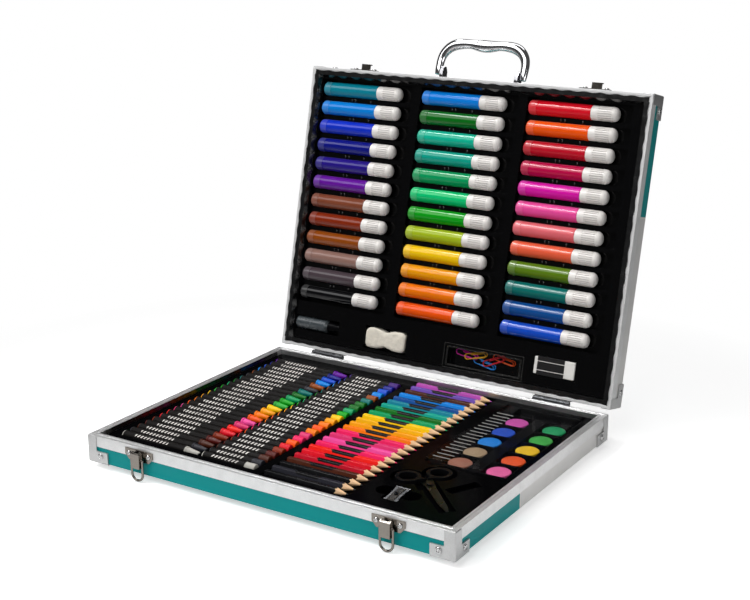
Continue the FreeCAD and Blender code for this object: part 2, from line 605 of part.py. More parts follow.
def latch_bail(label, side):
    """A wire loop, modelled about its turned-in ends: straight legs and a half-round end below."""
    body = new_body(label)
    standing = FreeCAD.Rotation()
    sideways = FreeCAD.Rotation(FreeCAD.Vector(0, 1, 0), 90)
    bend_up = FreeCAD.Rotation(FreeCAD.Vector(1, 0, 0), 90)
    bend_down = FreeCAD.Rotation(FreeCAD.Vector(1, 0, 0), -90)
    leg_end = "(bail_length - bail_half)"
    wire_part(body, "PartDesign::AdditiveCylinder", standing,
              {"Radius": "wire_radius", "Height": f"{leg_end} - bail_bend"}, "bail_half", f"-{leg_end}")
    wire_part(body, "PartDesign::AdditiveTorus", bend_up,
              {"Radius1": "bail_bend", "Radius2": "wire_radius", "Angle3": 90},
              "bail_half - bail_bend", "-bail_bend")
    wire_part(body, "PartDesign::AdditiveCylinder", sideways,
              {"Radius": "wire_radius", "Height": "bail_half - bail_bend - (lever_half - lever_wall)"},
              "lever_half - lever_wall", "0")
    wire_part(body, "PartDesign::AdditiveTorus", bend_down,
              {"Radius1": "bail_half", "Radius2": "wire_radius", "Angle3": 90}, "0", f"-{leg_end}")
    mirror(body, "YZ")
    place(body, f"({side})*latch_place", PIVOT_Y, f"{PIVOT_Z} - bail_below_pivot")


def latch_hooks():
    """Hook plates on the lid: the loop's end drops behind the upturned lip."""
    body = new_body("latch_hooks")
    top = f"({LID_LOW} + latch_below_rim)"
    extrude(body, "XZ", [plate_outline(top, 1)], f"-{LATCH_FACE}", f"-{RIM_OUT_Y}")
    seat = f"({PIVOT_Z} - bail_below_pivot + bail_length - wire_radius - knuckle_gap)"
    tongue = [(f"-{LATCH_FACE}", f"{seat} - latch_sheet"), (f"-{LATCH_FACE}", seat),
              (f"-({LATCH_FACE} + hook_reach - latch_sheet)", seat),
              (f"-({LATCH_FACE} + hook_reach - latch_sheet)", f"{seat} + hook_lip"),
              (f"-({LATCH_FACE} + hook_reach)", f"{seat} + hook_lip"),
              (f"-({LATCH_FACE} + hook_reach)", f"{seat} - latch_sheet")]
    extrude(body, "YZ", [tongue], "latch_place - hook_half", "latch_place + hook_half")
    mirror(body, "YZ")
    place_on_lid(body)


# Handle: a cast grip on two brackets in the middle of the lid's front wall
HANDLE_Y = f"-({BOARD_OUT_Y} + handle_standoff)"
HANDLE_Z = f"({LID_LOW} + bracket_depth)"


def handle_grip():
    """An arched grip with two finger grooves underneath, modelled about its pivot and leant back."""
    body = new_body("handle_grip")
    outer = "handle_place + handle_leg/2"
    inner = "handle_place - handle_leg/2"
    over = [(inner, "-handle_foot"), (outer, "-handle_foot"), (outer, "handle_bend_rise"),
            ("handle_corner_place", "handle_corner_rise")]
    under = [(inner, "handle_inner_bend_rise"), ("handle_inner_corner_place", "handle_inner_corner_rise"),
             ("handle_groove_place", "handle_groove_rise")]
    left_over = [(f"-({x})", rise) for x, rise in over]
    left_under = [(f"-({x})", rise) for x, rise in under]
    outline = (over + [("0", "handle_rise")] + left_over[::-1] + left_under + [("0", "handle_middle_rise")]
               + under[::-1])
    extrude(body, "XY", [[(x, f"-({rise})") for x, rise in outline]], "-handle_depth/2", "handle_depth/2")
    round_edges(body, "handle_corner_radius", upright)
    bevel_faces(body, "handle_edge")
    extrude(body, "YZ", [("0", "0", "handle_pin_radius + running_gap")], "-2*handle_place", "2*handle_place",
            cut=True)
    place_on_lid(body, 0, HANDLE_Y, HANDLE_Z, "handle_lean")


def handle_brackets():
    """Each bracket is a plate on the wall with one ear beside the leg, and a pin through both."""
    body = new_body("handle_brackets")
    inner = "(handle_place - handle_leg/2 - knuckle_gap)"
    low = f"{HANDLE_Z} - bracket_height/2"
    high = f"{HANDLE_Z} + bracket_height/2"
    plate_right = "(handle_place + handle_leg/2 + 2*knuckle_gap)"
    extrude(body, "XZ", [rectangle(f"{plate_right} - bracket_width", plate_right, low, high)],
            f"-({BOARD_OUT_Y} + bracket_plate)", f"-{BOARD_OUT_Y}")
    ear_top = f"{HANDLE_Y} - bracket_height*0.5"
    ear = [(f"-{BOARD_OUT_Y}", low), (f"-{BOARD_OUT_Y}", high), (f"{HANDLE_Y}", high),
           (ear_top, f"{HANDLE_Z} + bracket_height*0.22"), (ear_top, f"{HANDLE_Z} - bracket_height*0.22"),
           (f"{HANDLE_Y}", low)]
    extrude(body, "YZ", [ear], f"{inner} - bracket_ear", inner)
    hole = (HANDLE_Y, HANDLE_Z, "handle_pin_radius + running_gap")
    extrude(body, "YZ", [hole], "0", "2*handle_place", cut=True)
    mirror(body, "YZ")
    place_on_lid(body)
    pins = new_body("handle_pins")
    extrude(pins, "YZ", [(HANDLE_Y, HANDLE_Z, "handle_pin_radius")], f"{inner} - bracket_ear",
            "handle_place + handle_leg/2")
    mirror(pins, "YZ")
    place_on_lid(pins)


# Beds of the sticks in the base
STICK_AXIS = f"({BASE_TOP} - stick_axis_drop)"
WRAP_RADIUS = "(stick_radius + wrap_sheet)"
STICK_BED = f"({STICK_AXIS} - {WRAP_RADIUS} - seat_gap)"
STICK_FRONT = f"(stick_front_margin + stick_pitch/2 - {TRAY_D}/2)"
STICK_BACK = f"({STICK_FRONT} + (stick_count - 1)*stick_pitch)"
PENCIL_AXIS = f"({BASE_TOP} - pencil_axis_drop)"
PENCIL_BED = f"({PENCIL_AXIS} - pencil_corner_radius - seat_gap)"
PENCIL_FRONT = f"(pencil_front_margin + pencil_pitch/2 - {TRAY_D}/2)"
PENCIL_BACK = f"({PENCIL_FRONT} + (pencil_count - 1)*pencil_pitch)"


def sticks():
    """Wax crayons with conical tips and oil pastels with flat ends, each in its paper wrap."""
    crayon = new_body("crayon_sticks")
    revolve(crayon, "XY", [("0", "0"), ("crayon_length", "0"), ("crayon_length", "crayon_tip_radius"),
                           ("crayon_length - crayon_cone", "stick_radius"), ("0", "stick_radius")], "H")
    pastel = new_body("pastel_sticks")
    revolve(pastel, "XY", rectangle("0", "pastel_length", "0", "stick_radius"), "H")
    crayon_wrap = new_body("crayon_wraps")
    revolve(crayon_wrap, "XY", rectangle("0", "crayon_wrap_length", "stick_radius", WRAP_RADIUS), "H")
    pastel_wrap = new_body("pastel_wraps")
    revolve(pastel_wrap, "XY", rectangle("0", "pastel_wrap_length", "stick_radius", WRAP_RADIUS), "H")
    for body, left in ((crayon, CRAYON_LEFT), (crayon_wrap, CRAYON_LEFT), (pastel, PASTEL_LEFT),
                       (pastel_wrap, PASTEL_LEFT)):
        repeat(body, "Y", "stick_pitch", "stick_count")
        place(body, left, STICK_FRONT, STICK_AXIS)


def pencils():
    """Six-sided pencils: sharpening leaves the scalloped edge where the cone meets the flats."""
    barrel = new_body("pencil_barrels")
    wood = barrel.newObject("PartDesign::AdditivePrism", "Wood")
    wood.Polygon = 6
    bind(wood, "Circumradius", "pencil_corner_radius")
    bind(wood, "Height", "pencil_length - lead_length")
    wood.Placement = FreeCAD.Placement(FreeCAD.Vector(), FreeCAD.Rotation(FreeCAD.Vector(0, 1, 0), 90))
    barrel.Tip = wood
    outside = "2*pencil_corner_radius"
    shoulder = "pencil_length - pencil_sharpening"
    tip = "pencil_length - lead_length"
    revolve(barrel, "XY", [(shoulder, "pencil_corner_radius"), (tip, "lead_radius"), (tip, outside),
                           (shoulder, outside)], "H", cut=True)
    lead = new_body("pencil_leads")
    revolve(lead, "XY", [(tip, "0"), ("pencil_length", "0"), ("pencil_length", "lead_point_radius"),
                         (tip, "lead_radius")], "H")
    for body in (barrel, lead):
        repeat(body, "Y", "pencil_pitch", "pencil_count")
        place(body, PENCIL_LEFT, PENCIL_FRONT, PENCIL_AXIS)


# Paint box
PAINT_TOP = f"({BASE_TOP} - paint_drop)"
PAINT_RIM = f"({PAINT_TOP} - paint_cover_height)"
PAINT_LOW = f"({PAINT_RIM} - paint_height)"
PAINT_OUTLINE = rectangle(PAINT_LEFT, PAINT_RIGHT, "paint_front", "paint_back")


def inset_paint(wall):
    return rectangle(f"{PAINT_LEFT} + {wall}", f"{PAINT_RIGHT} - {wall}", f"paint_front + {wall}",
                     f"paint_back - {wall}")


def paint_box():
    """A tray with two columns of square wells and a brush trough, round cakes and a clear cover."""
    tray = new_body("paint_tray")
    extrude(tray, "XY", [PAINT_OUTLINE], PAINT_LOW, PAINT_RIM)
    well_floor = f"{PAINT_RIM} - well_depth"
    for column in (CAKE_X, f"({CAKE_X} + cake_column_pitch)"):
        square = centred(column, "cake_row", "2*well_half", "2*well_half")
        well = extrude(tray, "XY", [square], well_floor, PAINT_RIM, cut=True)
        repeat_feature(tray, well, "Y", "cake_row_pitch", "cake_rows")
    trough_front = "(cake_row + (cake_rows - 1)*cake_row_pitch + well_half + 2*paint_wall)"
    trough = rectangle(f"{CAKE_X} - well_half", f"{CAKE_X} + cake_column_pitch + well_half", trough_front,
                       "paint_back - 3*paint_wall")
    extrude(tray, "XY", [trough], well_floor, PAINT_RIM, cut=True)
    extrude(tray, "XY", [inset_paint("2*paint_wall")], PAINT_LOW, f"{well_floor} - paint_wall", cut=True)

    cakes = new_body("paint_cakes")
    revolve(cakes, "XZ", [("0", "0"), ("cake_radius", "0"), ("cake_radius", "cake_height - cake_crown"),
                          ("cake_flat", "cake_height"), ("0", "cake_height")], "V")
    repeat(cakes, "Y", "cake_row_pitch", "cake_rows")
    repeat(cakes, "X", "cake_column_pitch", 2)
    place(cakes, CAKE_X, "cake_row", well_floor)

    cover = new_body("paint_lid")
    extrude(cover, "XY", [PAINT_OUTLINE], PAINT_RIM, PAINT_TOP)
    round_edges(cover, "cover_corner", upright)
    extrude(cover, "XY", [inset_paint("paint_wall")], PAINT_RIM, f"{PAINT_TOP} - paint_wall", cut=True)
    flute_left = f"({PAINT_LEFT} + flute_inset)"
    flute = rectangle(flute_left, f"{flute_left} + flute_length", "flute_front", "flute_front + flute_width")
    ridge = extrude(cover, "XY", [flute], PAINT_TOP, f"{PAINT_TOP} + flute_height")
    repeat_feature(cover, ridge, "Y", "flute_pitch", "flute_count")


# Scissors, laid aslant: pivot at the local origin, blades towards +X
SCISSOR_BLADE_Z = f"({BASE_TOP} - scissor_drop - grip_height/2)"


def scissor_half(side, name, low):
    """One blade and its finger grip. side is the grip's side of the middle, low the blade's underside."""
    blade = new_body(f"scissor_blade_{name}")
    outline = [("-tang_length", f"({side})*blade_half*0.35"), ("0", f"-({side})*blade_half"),
               ("blade_length*0.75", f"-({side})*blade_half*0.8"),
               ("blade_length", f"-({side})*blade_tip_half"),
               ("blade_length*0.98", "0"), ("0", f"({side})*blade_half"),
               ("-tang_length", f"({side})*blade_half*1.3")]
    extrude(blade, "XY", [outline], low, f"{low} + blade_sheet")
    extrude(blade, "XY", [("0", "0", "scissor_rivet_radius + running_gap")], f"{low} - blade_sheet",
            f"{low} + 2*blade_sheet", cut=True)

    moulding = doc.addObject("PartDesign::Body", f"moulding_{name}")
    grip_low = f"{SCISSOR_BLADE_Z} - grip_height/2"
    grip_high = f"{SCISSOR_BLADE_Z} + grip_height/2"
    shank = [("-grip_front", f"({side})*grip_parting"), ("-grip_front", f"({side})*blade_half*1.6"),
             ("-loop_back + loop_radius*0.3", f"({side})*(loop_side + loop_radius*0.6)"),
             ("-loop_back + loop_radius*0.3", f"({side})*(loop_side - loop_radius*0.75)")]
    extrude(moulding, "XY", [shank], grip_low, grip_high)
    extrude(moulding, "XY", [("-loop_back", f"({side})*loop_side", "loop_radius")], grip_low, grip_high)
    extrude(moulding, "XY", [("-loop_back", f"({side})*loop_side", "finger_radius")],
            f"{grip_low} - grip_height", f"{grip_high} + grip_height", cut=True)
    grip = doc.addObject("Part::Cut", f"scissor_grip_{name}")
    grip.Base = moulding
    grip.Tool = blade
    nodes.append(grip)
    return blade, moulding


def scissors():
    lower = f"({SCISSOR_BLADE_Z} - blade_sheet - blade_gap/2)"
    upper = f"({SCISSOR_BLADE_Z} + blade_gap/2)"
    pieces = []
    pieces += scissor_half(1, "upper", upper)
    pieces += scissor_half(-1, "lower", lower)
    pin = new_body("scissor_rivet")
    head = f"({upper} + blade_sheet + blade_gap)"
    extrude(pin, "XY", [("0", "0", "scissor_rivet_radius")], lower, head)
    extrude(pin, "XY", [("0", "0", "1.6*scissor_rivet_radius")], head, f"{head} + blade_sheet")
    for piece in pieces + [pin]:
        place_turned(piece, SCISSOR_X, "scissor_y", 0, "scissor_turn")


# Sharpener: a wedge with waisted sides, a tapered bore along it and a blade on its slope
SHARPENER_LOW = f"({BASE_TOP} - sharpener_drop - sharpener_height)"
SHARPENER_SLOPE = "atan((sharpener_height - sharpener_low_end)/sharpener_length)"


def sharpener():
    body = new_body("sharpener_body")
    half = "sharpener_length/2"
    plan = [("-sharpener_half", f"-{half}"), ("sharpener_half", f"-{half}"),
            ("sharpener_waist", f"-{half}*0.4"), ("sharpener_waist", f"{half}*0.4"),
            ("sharpener_half", half), ("-sharpener_half", half),
            ("-sharpener_waist", f"{half}*0.4"), ("-sharpener_waist", f"-{half}*0.4")]
    extrude(body, "XY", [plan], "0", "sharpener_height")
    slope = [(f"-{half}", "sharpener_low_end"), (half, "sharpener_height"), (half, "sharpener_height*2"),
             (f"-{half}", "sharpener_height*2")]
    extrude(body, "YZ", [slope], "-2*sharpener_half", "2*sharpener_half", cut=True)
    bore = [("0", half), ("sharpener_bore", half), ("sharpener_bore_end", f"-{half}"), ("0", f"-{half}")]
    sketch = sketch_on(body, "XY", "sharpener_low_end/2")
    draw(sketch, [bore])
    taper = body.newObject("PartDesign::Groove", "Bore")
    taper.Profile = sketch
    taper.ReferenceAxis = (sketch, ["V_Axis"])
    taper.Angle = 360
    body.Tip = taper
    place(body, SHARPENER_X, "sharpener_y", SHARPENER_LOW)

    middle = "(sharpener_low_end + sharpener_height)/2"
    tilt = FreeCAD.Placement(FreeCAD.Vector(), FreeCAD.Rotation(FreeCAD.Vector(1, 0, 0), 1))
    blade = new_body("sharpener_blade")
    extrude(blade, "XY", [centred("0", "0", "2*sharpener_blade_half", "sharpener_blade_length")], "0",
            "sharpener_blade_sheet")
    extrude(blade, "XY", [("0", "0", "screw_radius/2 + running_gap")], "-sharpener_blade_sheet",
            "2*sharpener_blade_sheet", cut=True)
    screw = new_body("sharpener_screw")
    extrude(screw, "XY", [("0", "0", "screw_radius/2")], "0", "sharpener_blade_sheet")
    extrude(screw, "XY", [("0", "0", "screw_radius")], "sharpener_blade_sheet",
            "sharpener_blade_sheet + screw_head")
    for piece in (blade, screw):
        piece.Placement = tilt
        bind(piece, "Placement.Rotation.Angle", SHARPENER_SLOPE)
        place(piece, SHARPENER_X, "sharpener_y", f"{SHARPENER_LOW} + {middle}")


# Recesses of the base tray: outline, floor height
ACCESSORY_FLOOR = f"({SCISSOR_BLADE_Z} - grip_height/2 - seat_gap)"


def turned(tool, x, y):
    """A point of the scissors' or the scoop's own frame as formulas in the case's frame."""
    middle = {"scissor": SCISSOR_X, "scoop": SCOOP_X}[tool]
    turn = f"{tool}_turn"
    return (f"{middle} + cos({turn})*({x}) - sin({turn})*({y})",
            f"{tool}_y + sin({turn})*({x}) + cos({turn})*({y})")


def turned_slot(tool, back, front, low, high, wall):
    """A rectangle of a turned frame, one wall larger all round."""
    corners = [(f"{back} - {wall}", f"{low} - {wall}"), (f"{front} + {wall}", f"{low} - {wall}"),
               (f"{front} + {wall}", f"{high} + {wall}"), (f"{back} - {wall}", f"{high} + {wall}")]
    return [turned(tool, x, y) for x, y in corners]


def grown(loop):
    """The outside of a recess's formed wall: a circle or a rectangle, one sheet larger all round."""
    if isinstance(loop, tuple):
        return (loop[0], loop[1], f"{loop[2]} + tray_sheet")
    signs = [(-1, -1), (1, -1), (1, 1), (-1, 1)]
    return [(f"{x} + ({sx})*tray_sheet", f"{y} + ({sy})*tray_sheet") for (x, y), (sx, sy) in zip(loop, signs)]


CRAYON_BAY = (f"{CRAYON_LEFT} - bay_end_gap", f"{CRAYON_LEFT} + crayon_length + bay_end_gap/2")
PASTEL_BAY = (f"{PASTEL_LEFT} - bay_end_gap/2", f"{PASTEL_LEFT} + pastel_length + bay_end_gap")
PENCIL_BAY = (f"{PENCIL_LEFT} - bay_end_gap", f"{PENCIL_LEFT} + pencil_length + bay_end_gap")


def base_recesses():
    """Every recess of the base tray as (outline, outside of its formed wall, floor)."""
    stick_rows = (f"{STICK_FRONT} - stick_pitch/2", f"{STICK_BACK} + stick_pitch/2")
    pencil_rows = (f"{PENCIL_FRONT} - pencil_pitch/2", f"{PENCIL_BACK} + pencil_pitch/2")
    sharpener_floor = f"{SHARPENER_LOW} - seat_gap"
    sharpener_pit = centred(SHARPENER_X, "sharpener_y", "2*(sharpener_half + lift_gap)",
                            "sharpener_length + 2*lift_gap")
    straight = [(rectangle(*CRAYON_BAY, *stick_rows), STICK_BED),
                (rectangle(*PASTEL_BAY, *stick_rows), STICK_BED),
                (rectangle(*PENCIL_BAY, *pencil_rows), PENCIL_BED),
                (inset_paint("-lift_gap"), f"{PAINT_LOW} - seat_gap"), (sharpener_pit, sharpener_floor)]
    loop_room = "loop_radius + lift_gap + (loop_back + loop_side)*sin(scissor_swing)"
    for side in (-1, 1):
        loop_middle = turned("scissor", "-loop_back", f"({side})*loop_side")
        straight.append(((*loop_middle, loop_room), ACCESSORY_FLOOR))
        pit_x = f"{SHARPENER_X} + ({side})*(sharpener_half + finger_pit_out)"
        pit_y = "sharpener_y + finger_pit_back"
        straight.append(((pit_x, pit_y, "finger_pit_radius"), sharpener_floor))
    recesses = [(loop, grown(loop), floor) for loop, floor in straight]
    swing = "blade_length*sin(scissor_swing)"
    side_room = "(blade_half*1.4 + lift_gap)"
    blade_slot = ("scissor", "-loop_back", "blade_length + lift_gap", f"-{side_room} - {swing}", side_room)
    scoop = ("scoop", "-scoop_length/2", "scoop_length/2", "-scoop_width/2", "scoop_width/2")
    for slot in (blade_slot, scoop):
        recesses.append((turned_slot(*slot, "0"), turned_slot(*slot, "tray_sheet"), ACCESSORY_FLOOR))
    return recesses


def base_tray():
    """A formed sheet: a deck with a skirt round it and recesses sunk into it."""
    body = new_body("base_tray")
    edge_x = f"({TRAY_W}/2)"
    edge_y = f"({TRAY_D}/2)"
    extrude(body, "XY", [rectangle(*both(edge_x), *both(edge_y))], BASE_FLOOR, BASE_DECK)
    round_edges(body, "tray_corner", upright)
    hollow = rectangle(*both(f"({edge_x} - tray_sheet)"), *both(f"({edge_y} - tray_sheet)"))
    extrude(body, "XY", [hollow], BASE_FLOOR, f"{BASE_DECK} - tray_sheet", cut=True)
    recesses = base_recesses()
    for inside, outside, floor in recesses:
        extrude(body, "XY", [outside], f"{floor} - tray_sheet", BASE_DECK)
    for inside, outside, floor in recesses:
        extrude(body, "XY", [inside], floor, f"{BASE_DECK} + tray_sheet", cut=True)
    stick_rib_top = f"{STICK_AXIS} - stick_radius/3"
    stick_row = (STICK_FRONT, "stick_pitch", "stick_count")
    for bay in (CRAYON_BAY, PASTEL_BAY):
        add_ribs(body, bay, stick_row, WRAP_RADIUS, STICK_BED, stick_rib_top)
    pencil_flats = (f"{PENCIL_LEFT} - bay_end_gap", f"{PENCIL_LEFT} + pencil_length - pencil_sharpening")
    add_ribs(body, pencil_flats, (PENCIL_FRONT, "pencil_pitch", "pencil_count"), "pencil_corner_radius",
             PENCIL_BED, f"{PENCIL_AXIS} - lead_radius")
    return body


def add_ribs(body, ends, row, radius, low, high):
    """Ribs on a bay's floor, one in each gap of a row given as (first, pitch, count)."""
    first, pitch, count = row
    half = f"({pitch}/2 - {radius} - rib_clearance)"
    middle = f"{first} + {pitch}/2"
    rib = extrude(body, "XY", [rectangle(*ends, f"{middle} - {half}", f"{middle} + {half}")], low, high)
    repeat_feature(body, rib, "Y", pitch, f"{count} - 1")


# Lid tray, modelled with the case shut: the deck faces down and the recesses go up
MARKER_AXIS = f"({LID_LOW} + marker_axis_drop)"
MARKER_BED = f"({MARKER_AXIS} + marker_radius + seat_gap)"
MARKER_LEFT = f"(marker_margin - {TRAY_W}/2)"
MARKER_STEP = "(marker_length + marker_column_gap)"
MARKER_BACK = f"({TRAY_D}/2 - strip_depth - marker_pitch/2)"
MARKER_FRONT = f"({MARKER_BACK} - (marker_rows - 1)*marker_pitch)"
STRIP_LOW = f"({LID_LOW} + strip_drop)"
GLUE_AXIS = f"({LID_LOW} + glue_axis_drop)"
GLUE_Y = f"({TRAY_D}/2 - glue_row)"
SPONGE_Y = f"({TRAY_D}/2 - sponge_row)"
CLIP_Y = f"({TRAY_D}/2 - clip_bay_row)"
ERASER_Y = f"({TRAY_D}/2 - eraser_row)"


def strip_recesses():
    """Recesses of the strip along the hinges as (outline, floor)."""
    room = "2*lift_gap"
    glue = centred("(glue_left + glue_length/2)", GLUE_Y, f"glue_length + {room}", f"2*glue_radius + {room}")
    sponge = centred("sponge_x", SPONGE_Y, f"sponge_length + {room}", f"sponge_width + {room}")
    clips = centred("clip_bay_x", CLIP_Y, "clip_bay_length", "clip_bay_width")
    eraser = centred("eraser_x", ERASER_Y, f"eraser_length + {room}", f"eraser_width + {room}")
    return [(glue, f"{GLUE_AXIS} + glue_radius + seat_gap"),
            (sponge, f"{STRIP_LOW} + sponge_height + seat_gap"),
            (clips, f"{LID_DECK} + clip_bay_depth"), (eraser, f"{STRIP_LOW} + eraser_height + seat_gap")]


def marker_bay_ends(column):
    left = f"{MARKER_LEFT} + {column}*{MARKER_STEP}"
    return f"{left} - bay_end_gap", f"{left} + marker_length + marker_bay_end"


def lid_tray():
    """A formed sheet with marker bays, hollow ribs between the markers and a strip of small recesses."""
    body = new_body("lid_tray")
    edge_x = f"({TRAY_W}/2)"
    edge_y = f"({TRAY_D}/2)"
    extrude(body, "XY", [rectangle(*both(edge_x), *both(edge_y))], LID_DECK, LID_CEILING)
    round_edges(body, "tray_corner", upright)
    hollow = rectangle(*both(f"({edge_x} - tray_sheet)"), *both(f"({edge_y} - tray_sheet)"))
    extrude(body, "XY", [hollow], f"{LID_DECK} + tray_sheet", LID_CEILING, cut=True)
    rows = (f"{MARKER_FRONT} - marker_pitch/2", f"{MARKER_BACK} + marker_pitch/2")
    columns = [marker_bay_ends(column) for column in range(int(size("marker_columns")))]
    recesses = [(rectangle(*ends, *rows), MARKER_BED) for ends in columns] + strip_recesses()
    for loop, floor in recesses:
        extrude(body, "XY", [grown(loop)], LID_DECK, f"{floor} + tray_sheet")
    for loop, floor in recesses:
        extrude(body, "XY", [loop], f"{LID_DECK} - tray_sheet", floor, cut=True)
    half = "(marker_pitch/2 - marker_radius - rib_clearance)"
    middle = f"{MARKER_FRONT} + marker_pitch/2"
    top = f"{MARKER_BED} - marker_rib_height"
    for left, right in columns:
        outside = rectangle(left, right, f"{middle} - {half}", f"{middle} + {half}")
        inside = rectangle(f"{left} + tray_sheet", f"{right} - tray_sheet", f"{middle} - {half} + tray_sheet",
                           f"{middle} + {half} - tray_sheet")
        rib = extrude(body, "XY", [outside], top, MARKER_BED)
        repeat_feature(body, rib, "Y", "marker_pitch", "marker_rows - 1")
        groove = extrude(body, "XY", [inside], f"{top} + tray_sheet", f"{MARKER_BED} + 2*tray_sheet",
                         cut=True)
        repeat_feature(body, groove, "Y", "marker_pitch", "marker_rows - 1")
    place_on_lid(body)


def markers():
    """Felt markers: a barrel with a rounded plug and a cap with a rounded end."""
    barrel = new_body("marker_barrels")
    join = "(marker_length - marker_cap_length)"
    revolve(barrel, "XY", [("0", "0"), (join, "0"), (join, "marker_radius"),
                           ("marker_round", "marker_radius"), ("0", "marker_radius - marker_round")], "H")
    cap = new_body("marker_caps")
    revolve(cap, "XY", [(join, "0"), ("marker_length", "0"),
                        ("marker_length", "marker_cap_radius - marker_round"),
                        ("marker_length - marker_round", "marker_cap_radius"),
                        (join, "marker_cap_radius")], "H")
    for body in (barrel, cap):
        repeat(body, "Y", "marker_pitch", "marker_rows")
        repeat(body, "X", MARKER_STEP, "marker_columns")
        place_on_lid(body, MARKER_LEFT, MARKER_FRONT, MARKER_AXIS)


def glue():
    """A tube with a sloping shoulder and a tapered cap."""
    join = "(glue_length - glue_cap_length)"
    tube = new_body("glue_tube")
    revolve(tube, "XY", [("0", "0"), (join, "0"), (join, "glue_neck"),
                         (f"{join} - glue_shoulder", "glue_radius"), ("glue_round", "glue_radius"),
                         ("0", "glue_radius - glue_round")], "H")
    cap = new_body("glue_cap")
    revolve(cap, "XY", [(join, "0"), ("glue_length", "0"), ("glue_length", "glue_cap_top"),
                        (join, "glue_cap_base")], "H")
    for body in (tube, cap):
        place_on_lid(body, "glue_left", GLUE_Y, GLUE_AXIS)


def sponge():
    """A bone-shaped sponge: full at both ends, drawn in at the middle."""
    body = new_body("sponge")
    end = "sponge_length/2"
    half = "sponge_width/2"
    waist = "sponge_waist/2"
    near_side = [(f"-{end}", f"-{half}*0.7"), (f"-{end}*0.85", f"-{half}"), (f"-{end}*0.45", f"-{half}"),
                 ("0", f"-{waist}"), (f"{end}*0.45", f"-{half}"), (f"{end}*0.85", f"-{half}"),
                 (end, f"-{half}*0.7")]
    far_side = [(x, f"-({y})") for x, y in near_side[::-1]]
    extrude(body, "XY", [near_side + far_side], "0", "sponge_height")
    place_on_lid(body, "sponge_x", SPONGE_Y, STRIP_LOW)


def clip_tray_pieces():
    """Paper clips in their bay and the clear cover that laps over its edges."""
    clips = new_body("paper_clips")

    def ring(half, length):
        end = f"({length})/2"
        cut = f"({half})*0.6"
        return [(f"-{half}", f"-{end} + {cut}"), (f"-{half} + {cut}", f"-{end}"),
                (f"{half} - {cut}", f"-{end}"), (half, f"-{end} + {cut}"),
                (half, f"{end} - {cut}"), (f"{half} - {cut}", end),
                (f"-{half} + {cut}", end), (f"-{half}", f"{end} - {cut}")]

    width = "clip_bay_width - 4*lift_gap"
    inner = ring("(clip_half - clip_wire)", f"{width} - 2*clip_wire")
    extrude(clips, "XY", [ring("clip_half", width), inner], "0", "clip_wire")
    repeat(clips, "X", "clip_pitch", "clip_count")
    place_on_lid(clips, "clip_bay_x - clip_pitch*(clip_count - 1)/2", CLIP_Y,
                 f"{LID_DECK} + clip_bay_depth - clip_wire")
    cover = new_body("clip_cover")

    def lipped(edge):
        return centred("0", "0", f"clip_bay_length + 2*({edge})", f"clip_bay_width + 2*({edge})")

    extrude(cover, "XY", [lipped("cover_lap")], "-cover_sheet", "0")
    extrude(cover, "XY", [lipped("-lift_gap")], "0", "2*cover_sheet")
    extrude(cover, "XY", [lipped("-lift_gap - cover_sheet")], "0", "3*cover_sheet", cut=True)
    place_on_lid(cover, "clip_bay_x", CLIP_Y, LID_DECK)


def eraser():
    block = new_body("eraser_block")
    sleeve = new_body("eraser_sleeve")
    inner = "(eraser_width - 2*eraser_sleeve_sheet)"
    height = "(eraser_height - 2*eraser_sleeve_sheet)"
    end = "eraser_length/2"
    section = rectangle(f"-{inner}/2", f"{inner}/2", "eraser_sleeve_sheet", f"eraser_sleeve_sheet + {height}")
    outside = rectangle("-eraser_width/2", "eraser_width/2", "0", "eraser_height")
    extrude(block, "YZ", [section], f"-{end}", end)
    extrude(sleeve, "YZ", [outside, section], f"-{end} + (eraser_length - eraser_sleeve_length)/4",
            f"-{end} + (eraser_length - eraser_sleeve_length)/4 + eraser_sleeve_length")
    for body in (block, sleeve):
        place_on_lid(body, "eraser_x", ERASER_Y, STRIP_LOW)


def build_base():
    panels("base", "bottom", (BASE_LOW, BASE_FLOOR), (BASE_LOW, f"{BASE_TOP} - rim_wall"))
    rim("base_rim", BASE_TOP, -1)
    corner_caps("base_corner_caps", BASE_LOW, f"({BASE_TOP} - cap_short)", 1)
    rivets("base_rivets", f"{BASE_LOW} + rivet_height", f"{LATCH_TOP} - plate_rivet_below",
           f"{HINGE_Z} - hinge_rivet_away")
    feet()
    latch_plates()
    base_tray()
    sticks()
    pencils()
    paint_box()
    scissors()
    sharpener()


def build_lid():
    for board in panels("lid", "top", (LID_CEILING, LID_TOP), (f"{LID_LOW} + rim_wall", LID_TOP)):
        place_on_lid(board)
    place_on_lid(rim("lid_rim", LID_LOW, 1))
    place_on_lid(corner_caps("lid_corner_caps", LID_TOP, f"({LID_LOW} + cap_short)", -1))
    place_on_lid(rivets("lid_rivets", f"{LID_TOP} - rivet_height",
                        f"{LID_LOW} + latch_below_rim + plate_rivet_below",
                        f"{HINGE_Z} + hinge_rivet_away"))
    latch_hooks()
    lid_tray()
    markers()
    glue()
    sponge()
    clip_tray_pieces()
    eraser()


def build_moving():
    hinges()
    handle_brackets()
    handle_grip()
    for name, side in (("left", -1), ("right", 1)):
        latch_lever(f"latch_lever_{name}", side)
        latch_bail(f"latch_bail_{name}", side)


def export():
    """Stops on any failed object, then writes one file for each sub-part."""
    doc.recompute()
    for obj in doc.Objects:
        if "Invalid" in obj.State or "Error" in obj.State:
            raise RuntimeError(f"{obj.Label} ({obj.Name}) failed: {obj.State}")
    os.makedirs("parts", exist_ok=True)
    for node in nodes:
        shape = node.Shape
        if shape.isNull() or not shape.isValid() or not shape.Solids:
            raise RuntimeError(f"{node.Label} has no valid solid")
        shape.exportStep(f"parts/{node.Label}.step")
        print(node.Label, len(shape.Solids), "solids", round(shape.Volume), "mm3")


build_base()
build_lid()
build_moving()
export()
